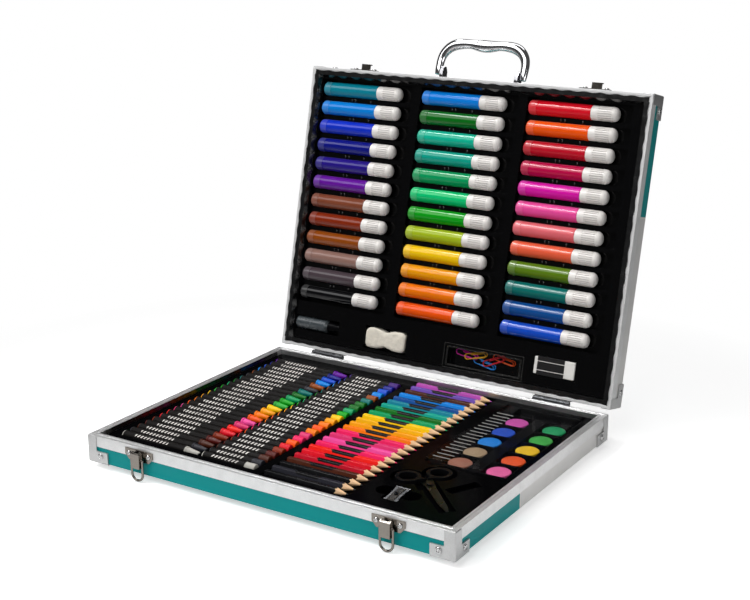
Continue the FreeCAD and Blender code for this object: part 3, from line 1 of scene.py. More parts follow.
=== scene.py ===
import json
import math

import bmesh
import bpy
from mathutils import Matrix, Vector


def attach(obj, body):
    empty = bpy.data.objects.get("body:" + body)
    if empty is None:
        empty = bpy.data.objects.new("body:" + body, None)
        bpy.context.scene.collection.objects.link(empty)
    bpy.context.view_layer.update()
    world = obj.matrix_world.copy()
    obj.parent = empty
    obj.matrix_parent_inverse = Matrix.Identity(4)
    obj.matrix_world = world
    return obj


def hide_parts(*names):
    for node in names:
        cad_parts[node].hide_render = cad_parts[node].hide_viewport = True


bl_info = {
    "name": "Art case",
    "version": (1, 0, 0),
    "blender": (4, 5, 0),
    "location": "View3D > Sidebar > Art case",
    "description": "Builds the pieces, finishes and stage of an open art case round its CAD frame",
    "category": "Object",
}

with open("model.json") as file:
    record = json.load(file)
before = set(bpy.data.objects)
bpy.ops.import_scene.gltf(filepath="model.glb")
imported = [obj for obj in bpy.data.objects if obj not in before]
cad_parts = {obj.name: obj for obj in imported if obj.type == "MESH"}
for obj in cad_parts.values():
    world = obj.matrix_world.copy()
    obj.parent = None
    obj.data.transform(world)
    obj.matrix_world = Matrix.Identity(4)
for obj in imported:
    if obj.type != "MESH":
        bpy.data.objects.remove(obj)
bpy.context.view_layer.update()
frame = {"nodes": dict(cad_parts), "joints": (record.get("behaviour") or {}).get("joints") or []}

MM = 0.001
JOINTS = {joint["name"]: joint for joint in frame["joints"]}
HINGE = Vector(JOINTS["lid_hinge"]["pos_m"])
LID_ANGLE = math.radians(-JOINTS["lid_hinge"]["range_deg"][0])
# Carries a piece modelled on the shut lid to where the open lid has it
OPEN_LID = Matrix.Translation(HINGE) @ Matrix.Rotation(-LID_ANGLE, 4, "X") @ Matrix.Translation(-HINGE)
SHUT_LID = OPEN_LID.inverted()

PALETTE = {
    "teal": "#0f8096", "sky": "#0a7fd8", "royal": "#1a35c4", "navy": "#141a80", "indigo": "#2c1f84",
    "purple": "#661f9a", "mauve": "#85503f", "russet": "#842c14", "brown": "#8e4612", "taupe": "#a98f88",
    "grey": "#5f575b", "black": "#0d0d0f", "azure": "#0d80e0", "bottle": "#0d6b1b", "turquoise": "#14b697",
    "jade": "#0fa08b", "emerald": "#0a9a5c", "mint": "#0cc676", "grass": "#12a01c", "lime": "#aabf2c",
    "yellow": "#f6c60a", "gold": "#f0b00a", "amber": "#f29d07", "orange": "#f2780c", "tangerine": "#f2560f",
    "red": "#da1e2c", "crimson": "#c01a2c", "raspberry": "#bd1048", "magenta": "#da1fa6", "pink": "#f268a8",
    "blush": "#f59096", "salmon": "#f27058", "olive": "#5c7f1c", "petrol": "#0a6f69", "denim": "#0b4c94",
    "cobalt": "#1b50c8", "white": "#e9e7e2", "charcoal": "#36363b", "maroon": "#551a16", "rose": "#e0487a",
    "orchid": "#bd62b6", "lavender": "#7f66b8", "violet": "#46287a", "leaf": "#3fae49", "tan": "#a98f70",
    "umber": "#4a2418", "fuchsia": "#d455b0", "clay": "#9c6450", "scarlet": "#ee2a24", "cerise": "#ee2f66",
}
# Markers from the lid's front wall towards the hinges, by column from the left
MARKERS = [names.split() for names in (
    "teal sky royal navy indigo purple mauve russet brown taupe grey black",
    "azure bottle turquoise jade emerald mint grass lime yellow amber orange tangerine",
    "red tangerine crimson raspberry magenta pink blush salmon olive petrol denim cobalt")]
# Rows of the base from front to back
CRAYONS = ("white charcoal umber maroon russet red scarlet rose pink tangerine orange amber yellow leaf grass "
           "emerald bottle petrol charcoal brown sky cobalt navy purple").split()
PASTELS = ("white charcoal umber maroon russet red tangerine cerise rose orange tangerine orange amber yellow grass "
           "emerald bottle bottle petrol brown sky cobalt navy violet").split()
PENCILS = ("black charcoal black umber crimson red scarlet cerise pink rose cerise orange amber gold yellow emerald "
           "bottle jade teal denim sky umber lavender orchid").split()
CAKES = (("clay", "tan", "sky", "cobalt", "fuchsia"), ("pink", "tangerine", "yellow", "leaf", "emerald"))
CLIPS = ("magenta", "gold", "sky", "red", "tangerine")


def tone(code):
    """A colour written as six hex digits, in the linear values that shaders use."""
    parts = [int(code[i:i + 2], 16) / 255 for i in (1, 3, 5)]
    return tuple(p / 12.92 if p <= 0.04045 else ((p + 0.055) / 1.055) ** 2.4 for p in parts)


def hue(name):
    return tone(PALETTE[name])


def rich(name):
    """A palette colour with its grey part reduced, for clear bright plastics and waxes."""
    colour = hue(name)
    grey = 0.5 * min(colour)
    return tuple(part - grey for part in colour)


def colour_property(name, description, code):
    return bpy.props.FloatVectorProperty(name=name, description=description, default=tone(code), min=0, max=1,
                                         size=3, subtype="COLOR")


def length_property(name, description, millimetres):
    return bpy.props.FloatProperty(name=name, description=description, default=millimetres * MM, min=0,
                                   unit="LENGTH")


class CaseColours(bpy.types.PropertyGroup):
    """Colours of the case and of the plain-coloured things in it."""
    film: colour_property("Film", "Front part of the film on the boards", "#008c8d")
    silver: colour_property("Silver film", "Rear part of the film on the boards", "#dcdbd9")
    aluminium: colour_property("Aluminium", "Rims of both halves", "#e2e2e2")
    steel: colour_property("Steel", "Corner caps and rivets", "#c6c6c6")
    nickel: colour_property("Nickel", "Latches", "#8a847d")
    chrome: colour_property("Chrome", "Handle and its brackets", "#d8d8da")
    tray: colour_property("Tray", "Formed sheet of both trays", "#040405")
    cap: colour_property("Marker cap", "Caps of the felt markers", "#eeeae6")
    paper: colour_property("Wrap", "Paper round the crayons and pastels", "#0e0b0a")
    wood: colour_property("Wood", "Sharpened ends of the pencils", "#e2b98c")
    foam: colour_property("Foam", "Sponge", "#e6dfd0")


class CaseSizes(bpy.types.PropertyGroup):
    """Sizes of the finer forms that a user may change."""
    edge: length_property("Edge", "Rounding of sheet-metal edges", 0.3)
    form: length_property("Formed edge", "Rounding of the trays' formed edges", 0.6)
    cap_corner: length_property("Cap corner", "Rounding of a corner cap's outer edges", 1.4)
    scallop: length_property("Scallop", "Length of one scallop of the lid tray's edge", 17)
    scallop_depth: length_property("Scallop depth", "Height of the scallops", 3.2)
    lip: length_property("Tray lip", "How far the lid tray turns out over its rim", 4.2)
    wrap_reach: length_property("Wrap reach", "How much further a crayon's wrap runs along its stick", 5)
    cap_ribs: bpy.props.IntProperty(name="Cap ribs", description="Grip ribs round a marker cap", default=20, min=6)
    cap_short: length_property("Cap ease", "How far a marker cap stays short of its full bay", 3.6)
    plug: length_property("Plug", "Length of a marker's end plug", 9)


def colours():
    return bpy.context.scene.art_case_colours


def sizes():
    return bpy.context.scene.art_case_sizes


# Shaping helpers

END_SLACK = 0.01 * MM  # how close to a bar's end a point counts as on it
WELD = 0.004 * MM  # how close together points of a CAD mesh count as one
X_WAY, Z_WAY = Vector((1, 0, 0)), Vector((0, 0, 1))


def nothing():
    """Leaves object mode with nothing selected, ready for a new primitive."""
    if bpy.context.object and bpy.context.object.mode != "OBJECT":
        bpy.ops.object.mode_set(mode="OBJECT")
    bpy.ops.object.select_all(action="DESELECT")


def alone(obj):
    """Makes one piece the only selected and active one, in object mode."""
    nothing()
    obj.select_set(True)
    bpy.context.view_layer.objects.active = obj


def added(name):
    """Names the primitive that was just added and moves its place into its mesh."""
    obj = bpy.context.object
    obj.name = name
    obj.data.name = name
    bpy.ops.object.transform_apply(location=True, rotation=True, scale=True)
    return obj


def join(pieces, name):
    """Makes one piece of several."""
    alone(pieces[0])
    for piece in pieces:
        piece.select_set(True)
    bpy.ops.object.join()
    pieces[0].name = name
    return pieces[0]


def edit(obj):
    alone(obj)
    bpy.ops.object.mode_set(mode="EDIT")
    bpy.ops.mesh.select_all(action="SELECT")


def done():
    bpy.ops.object.mode_set(mode="OBJECT")


def pick(obj, kind, test):
    """In edit mode, selects just the faces, edges or points that pass a test."""
    bpy.ops.mesh.select_mode(type=kind)
    bpy.ops.mesh.select_all(action="DESELECT")
    mesh = bmesh.from_edit_mesh(obj.data)
    for part in {"FACE": mesh.faces, "EDGE": mesh.edges, "VERT": mesh.verts}[kind]:
        if test(part):
            part.select_set(True)
    bmesh.update_edit_mesh(obj.data)


def pick_facing(obj, way):
    """In edit mode, selects the faces that look one way."""
    pick(obj, "FACE", lambda face: face.normal.dot(way) > 0.99)


def soften(obj, offset, segments, test):
    """In edit mode, rounds the edges whose ends both pass a test."""
    pick(obj, "EDGE", lambda edge: all(test(point.co) for point in edge.verts))
    bpy.ops.mesh.bevel(offset=offset, segments=segments, affect="EDGES")


def soften_end(obj, place, offset, segments):
    """In edit mode, rounds the end that a bar along X has at a place."""
    soften(obj, offset, segments, lambda point: abs(point.x - place) < END_SLACK)


def narrow(share):
    """In edit mode, draws the selected parts of a bar along X in towards its axis."""
    bpy.ops.transform.resize(value=(1, share, share), center_override=(0, 0, 0))


def push(offset):
    """In edit mode, draws the selected faces out."""
    bpy.ops.mesh.extrude_region_move(TRANSFORM_OT_translate={"value": offset})


def cut_across(*places):
    """In edit mode, cuts a bar along X at each place."""
    for place in places:
        bpy.ops.mesh.select_all(action="SELECT")
        bpy.ops.mesh.bisect(plane_co=(place, 0, 0), plane_no=X_WAY)


def modify(obj, kind, **settings):
    """Adds a modifier and applies it."""
    alone(obj)
    modifier = obj.modifiers.new(kind.title(), kind)
    for name, value in settings.items():
        setattr(modifier, name, value)
    bpy.ops.object.modifier_apply(modifier=modifier.name)


def round_edges(obj, width, segments=2, angle=35):
    modify(obj, "BEVEL", width=width, segments=segments, limit_method="ANGLE", angle_limit=math.radians(angle),
           miter_outer="MITER_ARC")
    refill_flats(obj)


def refill_flats(obj):
    """Fills many-cornered flat faces anew, so that none reaches over an opening in it."""
    same_way, same_level = 0.9995, 0.02 * MM
    work = bmesh.new()
    work.from_mesh(obj.data)
    flats = []
    for face in work.faces:
        if len(face.verts) < 5:
            continue
        height = face.normal.dot(face.verts[0].co)
        for normal, level, faces in flats:
            if normal.dot(face.normal) > same_way and abs(level - height) < same_level:
                faces[face] = True
                break
        else:
            flats.append((face.normal.copy(), height, {face: True}))
    for normal, level, faces in flats:
        edges = dict.fromkeys(edge for face in faces for edge in face.edges)
        border = [edge for edge in edges if sum(face in faces for face in edge.link_faces) == 1]
        bmesh.ops.delete(work, geom=list(faces), context="FACES_KEEP_BOUNDARY")
        border = [edge for edge in border if edge.is_valid]
        filled = bmesh.ops.triangle_fill(work, edges=border, use_beauty=True, use_dissolve=False, normal=normal)
        for part in filled["geom"]:
            if isinstance(part, bmesh.types.BMFace):
                part.normal_update()
                if part.normal.dot(normal) < 0:
                    part.normal_flip()
    work.to_mesh(obj.data)
    work.free()
    obj.data.update()


def smooth(obj, angle=38):
    alone(obj)
    bpy.ops.object.shade_smooth_by_angle(angle=math.radians(angle))
    modify(obj, "WEIGHTED_NORMAL", keep_sharp=True)


def outward(obj):
    """Closes seams and points all faces outwards."""
    edit(obj)
    bpy.ops.mesh.remove_doubles(threshold=0.002 * MM)
    bpy.ops.mesh.normals_make_consistent(inside=False)
    done()


def turn(obj, matrix):
    """Moves a piece's mesh; the object itself stays at the origin."""
    obj.data.transform(matrix)
    obj.data.update()


def extent(points):
    """Lowest and highest corner of some points."""
    points = list(points)
    return [Vector(limit(point[i] for point in points) for i in range(3)) for limit in (min, max)]


def rows_of(node, swing=Matrix()):
    """Lowest and highest corner of a CAD node, with the lid shut if swing shuts it."""
    return extent(swing @ point.co for point in frame["nodes"][node].data.vertices)


class Rows:
    """Like bars along X that CAD lays side by side in even rows, in one column or more."""

    def __init__(self, node, half, count, swing=Matrix(), columns=1, step=0.0):
        self.low, self.high = rows_of(node, swing)
        self.length = self.high.x - self.low.x - (columns - 1) * step
        self.first = self.low.y + half
        self.pitch = (self.high.y - self.low.y - 2 * half) / (count - 1)
        self.axis = (self.low.z + self.high.z) / 2
        self.places = [Matrix.Translation((self.low.x + column * step, self.first + row * self.pitch, self.axis))
                       for column in range(columns) for row in range(count)]


def cad_copy(name, node):
    """A piece with the faces of a CAD node, flat faces whole again."""
    obj = bpy.data.objects.new(name, frame["nodes"][node].data.copy())
    obj.data.materials.clear()
    bpy.context.collection.objects.link(obj)
    alone(obj)
    if obj.data.has_custom_normals:
        bpy.ops.mesh.customdata_custom_splitnormals_clear()
    edit(obj)
    bpy.ops.mesh.remove_doubles(threshold=WELD)
    bpy.ops.mesh.dissolve_limited(angle_limit=math.radians(0.6))
    done()
    return obj


def bar(name, left, right, radius, sides, fill="NGON"):
    """A round or many-sided bar along X."""
    nothing()
    bpy.ops.mesh.primitive_cylinder_add(vertices=sides, radius=radius, depth=right - left, end_fill_type=fill,
                                        location=((left + right) / 2, 0, 0), rotation=(0, math.pi / 2, 0))
    return added(name)


def disc(name, radius, height, sides):
    """A round disc that stands on the origin."""
    nothing()
    bpy.ops.mesh.primitive_cylinder_add(vertices=sides, radius=radius, depth=height, location=(0, 0, height / 2))
    return added(name)


def block(name, low, high):
    """A box between two corners."""
    nothing()
    low, high = Vector(low), Vector(high)
    bpy.ops.mesh.primitive_cube_add(size=1, location=(low + high) / 2)
    bpy.context.object.scale = high - low
    return added(name)


def plain(colour):
    """The tint of a piece that has one colour all over."""
    return lambda point: colour


def tint(obj, colour_at):
    """Stores a colour at each point of a piece, by its place."""
    layer = obj.data.attributes.new("tint", "FLOAT_COLOR", "POINT")
    values = []
    for point in obj.data.vertices:
        values += [*colour_at(point.co), 1.0]
    layer.data.foreach_set("color", values)


def copies(pattern, name, places, tints=None):
    """Copies a pattern to each place, each copy with its own mesh and tint, and joins them as one piece."""
    made = []
    for i, place in enumerate(places):
        copy = bpy.data.objects.new(name, pattern.data.copy())
        bpy.context.collection.objects.link(copy)
        if tints:
            tint(copy, tints[i])
        turn(copy, place)
        made.append(copy)
    bpy.data.objects.remove(pattern)
    return join(made, name)


def bend_wire(name, radius, start, steps, sides):
    """A wire in the X-Y plane that starts along +X. Steps are a length, or (bend radius, angle), left positive."""
    nothing()
    bpy.ops.mesh.primitive_circle_add(vertices=sides, radius=radius, location=start, rotation=(0, math.pi / 2, 0))
    obj = added(name)
    edit(obj)
    place, way = Vector(start), X_WAY
    for step in steps:
        if isinstance(step, tuple):
            bend, angle = step[0], math.radians(step[1])
            side = Vector((-way.y, way.x, 0)) * math.copysign(1, angle)
            centre = place + side * bend
            bpy.ops.mesh.spin(steps=max(3, round(abs(angle) * 5)), angle=abs(angle), center=centre,
                              axis=(0, 0, -math.copysign(1, angle)))
            spin = Matrix.Rotation(angle, 3, "Z")
            place = centre + spin @ (place - centre)
            way = spin @ way
        else:
            push(way * step)
            place = place + way * step
    bpy.ops.mesh.select_all(action="SELECT")
    bpy.ops.mesh.fill_holes(sides=0)
    done()
    outward(obj)
    smooth(obj, 60)
    return obj


def settle(obj, body, slot, finishes, *nodes):
    """Gives a finished piece its materials and the body it rides on, and hides the CAD nodes it stands for."""
    alone(obj)
    bpy.ops.object.transform_apply(location=True, rotation=True, scale=True)
    finishes = finishes if isinstance(finishes, (list, tuple)) else [finishes]
    if len(obj.data.materials) != len(finishes):
        obj.data.materials.clear()
        for finish in finishes:
            obj.data.materials.append(finish)
    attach(obj, body)
    if nodes:
        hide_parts(*nodes)
    return obj


def dress(name, node, body, slot, finishes, width, segments=2, angle=35):
    """Copies a CAD node, rounds its edges and settles it."""
    piece = cad_copy(name, node)
    round_edges(piece, width, segments, angle)
    smooth(piece)
    return settle(piece, body, slot, finishes, node)


def paint_highlight_faces(sheet, takes_painted_highlight):
    """Gives the second finish of a clear sheet, a painted highlight, to the faces that would catch the light."""
    # painted highlight: these faces take the white, more opaque finish in place of a highlight from the lamps
    for polygon in sheet.data.polygons:
        polygon.material_index = int(takes_painted_highlight(polygon))


# Finishes

def add_node(tree, kind, links=None, **settings):
    """A node with its settings and, by socket index or name, its values or links."""
    node = tree.nodes.new(kind)
    for name, value in settings.items():
        setattr(node, name, value)
    for socket, value in (links or {}).items():
        if isinstance(value, bpy.types.NodeSocket):
            tree.links.new(value, node.inputs[socket])
        else:
            node.inputs[socket].default_value = value
    return node


class Finish:
    """A material under work: one shader and the patterns that feed it."""

    def __init__(self, name, colour, roughness, metallic=0.0, **sockets):
        self.material = bpy.data.materials.new(name)
        self.material.use_nodes = True
        self.material.diffuse_color = (*colour, 1)
        self.tree = self.material.node_tree
        self.shader = self.tree.nodes["Principled BSDF"]
        self.colour = (*colour, 1)
        self.roughness = roughness
        self.shader.inputs["Base Color"].default_value = self.colour
        self.shader.inputs["Roughness"].default_value = roughness
        self.shader.inputs["Metallic"].default_value = metallic
        for socket, value in sockets.items():
            self.shader.inputs[socket.replace("_", " ")].default_value = value

    def add(self, kind, links=None, **settings):
        return add_node(self.tree, kind, links, **settings)

    def spot(self):
        return self.add("ShaderNodeTexCoord").outputs["Object"]

    def place(self, scale=(1, 1, 1)):
        return self.add("ShaderNodeMapping", {"Vector": self.spot(), "Scale": scale}).outputs[0]

    def axes(self):
        return self.add("ShaderNodeSeparateXYZ", {0: self.spot()}).outputs[:3]

    def along(self, way):
        """How far a point lies along a direction."""
        return self.add("ShaderNodeVectorMath", {0: self.spot(), 1: way}, operation="DOT_PRODUCT").outputs["Value"]

    def reckon(self, operation, *values):
        return self.add("ShaderNodeMath", dict(enumerate(values)), operation=operation).outputs[0]

    def size(self, value):
        return self.reckon("ABSOLUTE", value)

    def less(self, value, limit):
        return self.reckon("LESS_THAN", value, limit)

    def rows(self, y, rows):
        """The number of the row that a point is in, and how far off that row's middle it lies."""
        off = self.reckon("SUBTRACT", y, rows.first)
        row = self.reckon("ROUND", self.reckon("DIVIDE", off, rows.pitch))
        return row, self.reckon("SUBTRACT", off, self.reckon("MULTIPLY", row, rows.pitch))

    def noise(self, scale, stretch=(1, 1, 1)):
        links = {"Vector": self.place(stretch), "Scale": scale, "Detail": 3.0}
        return self.add("ShaderNodeTexNoise", links).outputs[0]

    def between(self, value, low, high, start=0.0, end=1.0):
        links = {0: value, 1: start, 2: end, 3: low, 4: high}
        return self.add("ShaderNodeMapRange", links).outputs[0]

    def mix(self, amount, first, second, blend="MIX"):
        links = {0: amount, 6: first, 7: second}
        return self.add("ShaderNodeMix", links, data_type="RGBA", blend_type=blend).outputs[2]

    def paint(self, colour):
        self.colour = colour
        self.tree.links.new(colour, self.shader.inputs["Base Color"])

    def overlay(self, amount, colour):
        """Paints another colour where amount is 1."""
        self.paint(self.mix(amount, self.colour, (*colour, 1)))

    def tinted(self):
        """Takes the colour stored in the piece's points."""
        self.paint(self.add("ShaderNodeAttribute", attribute_name="tint").outputs["Color"])

    def shade(self, scale, amount, stretch=(1, 1, 1)):
        """Lets the colour drift lighter and darker."""
        drift = self.between(self.noise(scale, stretch), 1 - amount, 1 + amount, 0.3, 0.7)
        grey = self.add("ShaderNodeCombineColor", {0: drift, 1: drift, 2: drift}).outputs[0]
        self.paint(self.mix(1.0, self.colour, grey, "MULTIPLY"))

    def wear(self, scale, amount, stretch=(1, 1, 1)):
        """Lets the gloss vary."""
        rough = self.between(self.noise(scale, stretch), self.roughness - amount, self.roughness + amount, 0.3, 0.7)
        self.tree.links.new(rough, self.shader.inputs["Roughness"])

    def relief(self, height, depth, strength):
        """Raises a pattern by a depth in millimetres."""
        bump = self.add("ShaderNodeBump", {"Strength": strength, "Distance": depth * MM, "Height": height})
        self.tree.links.new(bump.outputs[0], self.shader.inputs["Normal"])


def film_finish(name, along, shift):
    """Two-tone printed film: along and shift give a point's place between front and hinges."""
    seam, line_middle, line_half, shine = -36 * MM, -35.2 * MM, 0.9 * MM, 0.2
    finish = Finish(name, colours().film, 0.34, Specular_IOR_Level=0.12)
    depth = finish.reckon("ADD", finish.along(along), shift)
    behind = finish.reckon("GREATER_THAN", depth, seam)
    line = finish.less(finish.size(finish.reckon("SUBTRACT", depth, line_middle)), line_half)
    finish.overlay(behind, colours().silver)
    finish.overlay(line, hue("white"))
    finish.tree.links.new(finish.reckon("MULTIPLY", behind, shine), finish.shader.inputs["Metallic"])
    finish.shade(40, 0.02, (0.25, 1, 1))
    finish.wear(120, 0.04)
    finish.relief(finish.noise(900), 0.006, 0.5)
    return finish.material


def metal_finish(name, colour, roughness, grain, drift=0.03, stretch=(1, 1, 1), depth=0.004, bare=1.0):
    """Metal with a fine grain: bare is 1 for a polished surface, less for a matt oxide coat."""
    finish = Finish(name, colour, roughness, bare)
    finish.shade(90, drift, stretch)
    finish.shade(grain, drift * 1.5, stretch)
    finish.wear(grain / 4, roughness * 0.15, stretch)
    finish.relief(finish.noise(grain, stretch), depth, 0.6)
    return finish.material


def plastic_finish(name, colour, roughness, grain, depth, **sockets):
    finish = Finish(name, colour, roughness, **sockets)
    finish.shade(90, 0.05)
    finish.wear(140, roughness * 0.25)
    finish.relief(finish.noise(grain), depth, 0.5)
    return finish.material


def tinted_finish(name, roughness, grain, depth, drift, **sockets):
    """A finish that takes its colour from the piece's points."""
    finish = Finish(name, (0.5, 0.5, 0.5), roughness, **sockets)
    finish.tinted()
    finish.shade(grain / 6, drift)
    finish.wear(grain / 4, roughness * 0.2)
    finish.relief(finish.noise(grain), depth, 0.6)
    return finish.material


def clear_finish(name, colour, roughness, cover):
    """Clear moulded plastic: cover is the share of light that its surface keeps."""
    finish = Finish(name, colour, roughness, Alpha=cover, Specular_IOR_Level=0.7)
    finish.relief(finish.noise(120), 0.004, 0.3)
    finish.wear(160, roughness * 0.4)
    return finish.material


def clear_pair(name, cover, highlight_cover):
    """The two finishes of a clear sheet: its faces, and a white, more opaque painted highlight for the faces that
    would catch the light.
    """
    return [clear_finish(name, hue("black"), 0.05, cover),
            # painted highlight: white and more opaque than the sheet, so its edges and ridges show as light lines
            clear_finish(f"{name} edges", hue("white"), 0.1, highlight_cover)]


def wrap_finish(name, rows, start, end):
    """Black paper with a row of plain slanted white dashes along each stick, from start to end."""
    dash_pitch, dash_share, dash_half, slant = 3.9 * MM, 0.42, 1.4 * MM, 0.7
    facing, skin, jog_share, jog_most = 0.62, 4.7 * MM, 0.37, 6 * MM
    finish = Finish(name, colours().paper, 0.42, Specular_IOR_Level=0.1)
    reckon = finish.reckon
    x, y, z = finish.axes()
    row, across = finish.rows(y, rows)
    turned = reckon("ARCTAN2", reckon("MULTIPLY", across, -1.0), reckon("SUBTRACT", z, rows.axis))
    down = reckon("MULTIPLY", reckon("SUBTRACT", turned, facing), skin)
    jog = reckon("MULTIPLY", reckon("FRACT", reckon("MULTIPLY", row, jog_share)), jog_most)
    along = reckon("ADD", reckon("SUBTRACT", x, rows.low.x), jog)
    slanted = reckon("ADD", along, reckon("MULTIPLY", down, slant))
    dash = finish.less(reckon("FRACT", reckon("DIVIDE", slanted, dash_pitch)), dash_share)
    near = reckon("MULTIPLY", dash, finish.less(finish.size(down), dash_half))
    inside = reckon("MULTIPLY", reckon("GREATER_THAN", along, start), finish.less(along, end))
    finish.overlay(reckon("MULTIPLY", near, inside), tone("#e0dcd6"))
    finish.shade(160, 0.22, (0.3, 1, 1))
    finish.wear(300, 0.06)
    finish.relief(finish.noise(400), 0.008, 0.6)
    return finish.material


def lacquer_finish(rows):
    """Pencil lacquer in the stored colour with a plain black panel along the upper faces."""
    panel_middle, panel_half, panel_width, taper = 38 * MM, 15 * MM, 2.9 * MM, 1.2
    finish = Finish("pencil lacquer", (0.5, 0.5, 0.5), 0.26, Specular_IOR_Level=0.12)
    finish.tinted()
    x, y, z = finish.axes()
    off = finish.size(finish.rows(y, rows)[1])
    away = finish.size(finish.reckon("SUBTRACT", finish.reckon("SUBTRACT", x, rows.low.x), panel_middle))
    reach = finish.reckon("ADD", away, finish.reckon("MULTIPLY", off, taper))
    panel = finish.reckon("MULTIPLY", finish.less(reach, panel_half), finish.less(off, panel_width))
    finish.overlay(panel, hue("black"))
    finish.shade(120, 0.05, (0.2, 1, 1))
    finish.wear(120, 0.04)
    finish.relief(finish.noise(300, (0.2, 1, 1)), 0.002, 0.5)
    return finish.material


def wood_finish():
    finish = Finish("sharpened wood", colours().wood, 0.6)
    finish.shade(420, 0.14, (0.12, 1, 1))
    finish.wear(300, 0.08)
    finish.relief(finish.noise(900, (0.15, 1, 1)), 0.05, 0.7)
    return finish.material


def foam_finish():
    finish = Finish("open foam", colours().foam, 0.9, Sheen_Weight=0.2)
    pores = finish.add("ShaderNodeTexVoronoi", {"Vector": finish.place(), "Scale": 900.0}).outputs["Distance"]
    finish.shade(260, 0.08)
    finish.relief(pores, 0.25, 0.9)
    return finish.material


def cast_finish():
    """Cast alloy with fine finger ribs across it."""
    finish = Finish("cast alloy", tone("#4a4b4d"), 0.3, 1.0)
    ribs = finish.add("ShaderNodeTexWave", {"Vector": finish.place((0, 1, 0)), "Scale": 190.0},
                      bands_direction="Y").outputs["Fac"]
    finish.shade(150, 0.08)
    finish.wear(300, 0.08)
    finish.relief(ribs, 0.25, 0.7)
    return finish.material


def sleeve_finish(along, middle):
    """Black card with two plain lines along it: along and middle place a point across the sleeve."""
    line_place, line_half = 4.6 * MM, 0.3 * MM
    finish = Finish("sleeve card", hue("black"), 0.45)
    off = finish.size(finish.reckon("SUBTRACT", finish.along(along), middle))
    line = finish.less(finish.size(finish.reckon("SUBTRACT", off, line_place)), line_half)
    finish.overlay(line, hue("white"))
    finish.shade(200, 0.15)
    finish.relief(finish.noise(800), 0.01, 0.5)
    return finish.material


def shared(name, make, *values, **settings):
    """A finish that more than one operator uses, made once."""
    return bpy.data.materials.get(name) or make(name, *values, **settings)


def nickel_finish():
    return shared("nickel", metal_finish, colours().nickel, 0.2, 900, 0.05)


def black_gloss_finish():
    return shared("black gloss", plastic_finish, hue("black"), 0.2, 500, 0.002, Specular_IOR_Level=0.02)


def ground_steel_finish():
    return shared("ground steel", metal_finish, tone("#1f2022"), 0.3, 800, 0.06, (1, 0.15, 1))


def formed_finish(name, roughness, depth, gloss):
    """Black formed sheet, as the trays are."""
    return plastic_finish(name, colours().tray, roughness, 160, depth, Specular_IOR_Level=gloss)


# Operators, one for each group of like pieces

class ARTCASE_OT_boards(bpy.types.Operator):
    """Covers the boards of both halves with two-tone film"""
    bl_idname = "artcase.boards"
    bl_label = "Boards"

    def execute(self, context):
        swing = SHUT_LID.row[1]
        films = {"base": film_finish("film on base", (0, 1, 0), 0.0),
                 "lid": film_finish("film on lid", swing[:3], swing[3])}
        for half, face in (("base", "bottom"), ("lid", "top")):
            for side in (face, "front", "rear", "left", "right"):
                board = frame["nodes"][f"{half}_{side}_panel"]
                board.data.materials.clear()
                board.data.materials.append(films[half])
        return {"FINISHED"}


class ARTCASE_OT_rims(bpy.types.Operator):
    """Rolls the edges of the aluminium rims"""
    bl_idname = "artcase.rims"
    bl_label = "Rims"

    def execute(self, context):
        for half, bare in (("base", 0.97), ("lid", 0.35)):
            satin = metal_finish(f"satin aluminium of {half}", colours().aluminium, 0.4, 1400, 0.05, bare=bare)
            dress(f"{half}_rim_rails", f"{half}_rim", half, "rim_metal", satin, sizes().edge)
        return {"FINISHED"}


class ARTCASE_OT_corner_caps(bpy.types.Operator):
    """Presses the corner caps: full outer corners and turned edges"""
    bl_idname = "artcase.corner_caps"
    bl_label = "Corner caps"

    def execute(self, context):
        slack = 0.02 * MM
        steel = metal_finish("pressed steel", colours().steel, 0.36, 900, 0.04, bare=0.75)
        for half, swing in (("base", Matrix()), ("lid", SHUT_LID)):
            caps = cad_copy(f"{half}_cap_pressings", f"{half}_corner_caps")
            turn(caps, swing)
            low, high = extent(point.co for point in caps.data.vertices)
            face = low.z if half == "base" else high.z

            def on_outside(point):
                outer = abs(point.x) > high.x - slack, abs(point.y) > high.y - slack, abs(point.z - face) < slack
                return sum(outer) >= 2

            edit(caps)
            soften(caps, sizes().cap_corner, 4, on_outside)
            done()
            round_edges(caps, sizes().edge)
            smooth(caps)
            turn(caps, swing.inverted())
            settle(caps, half, "cap_metal", steel, f"{half}_corner_caps")
        return {"FINISHED"}


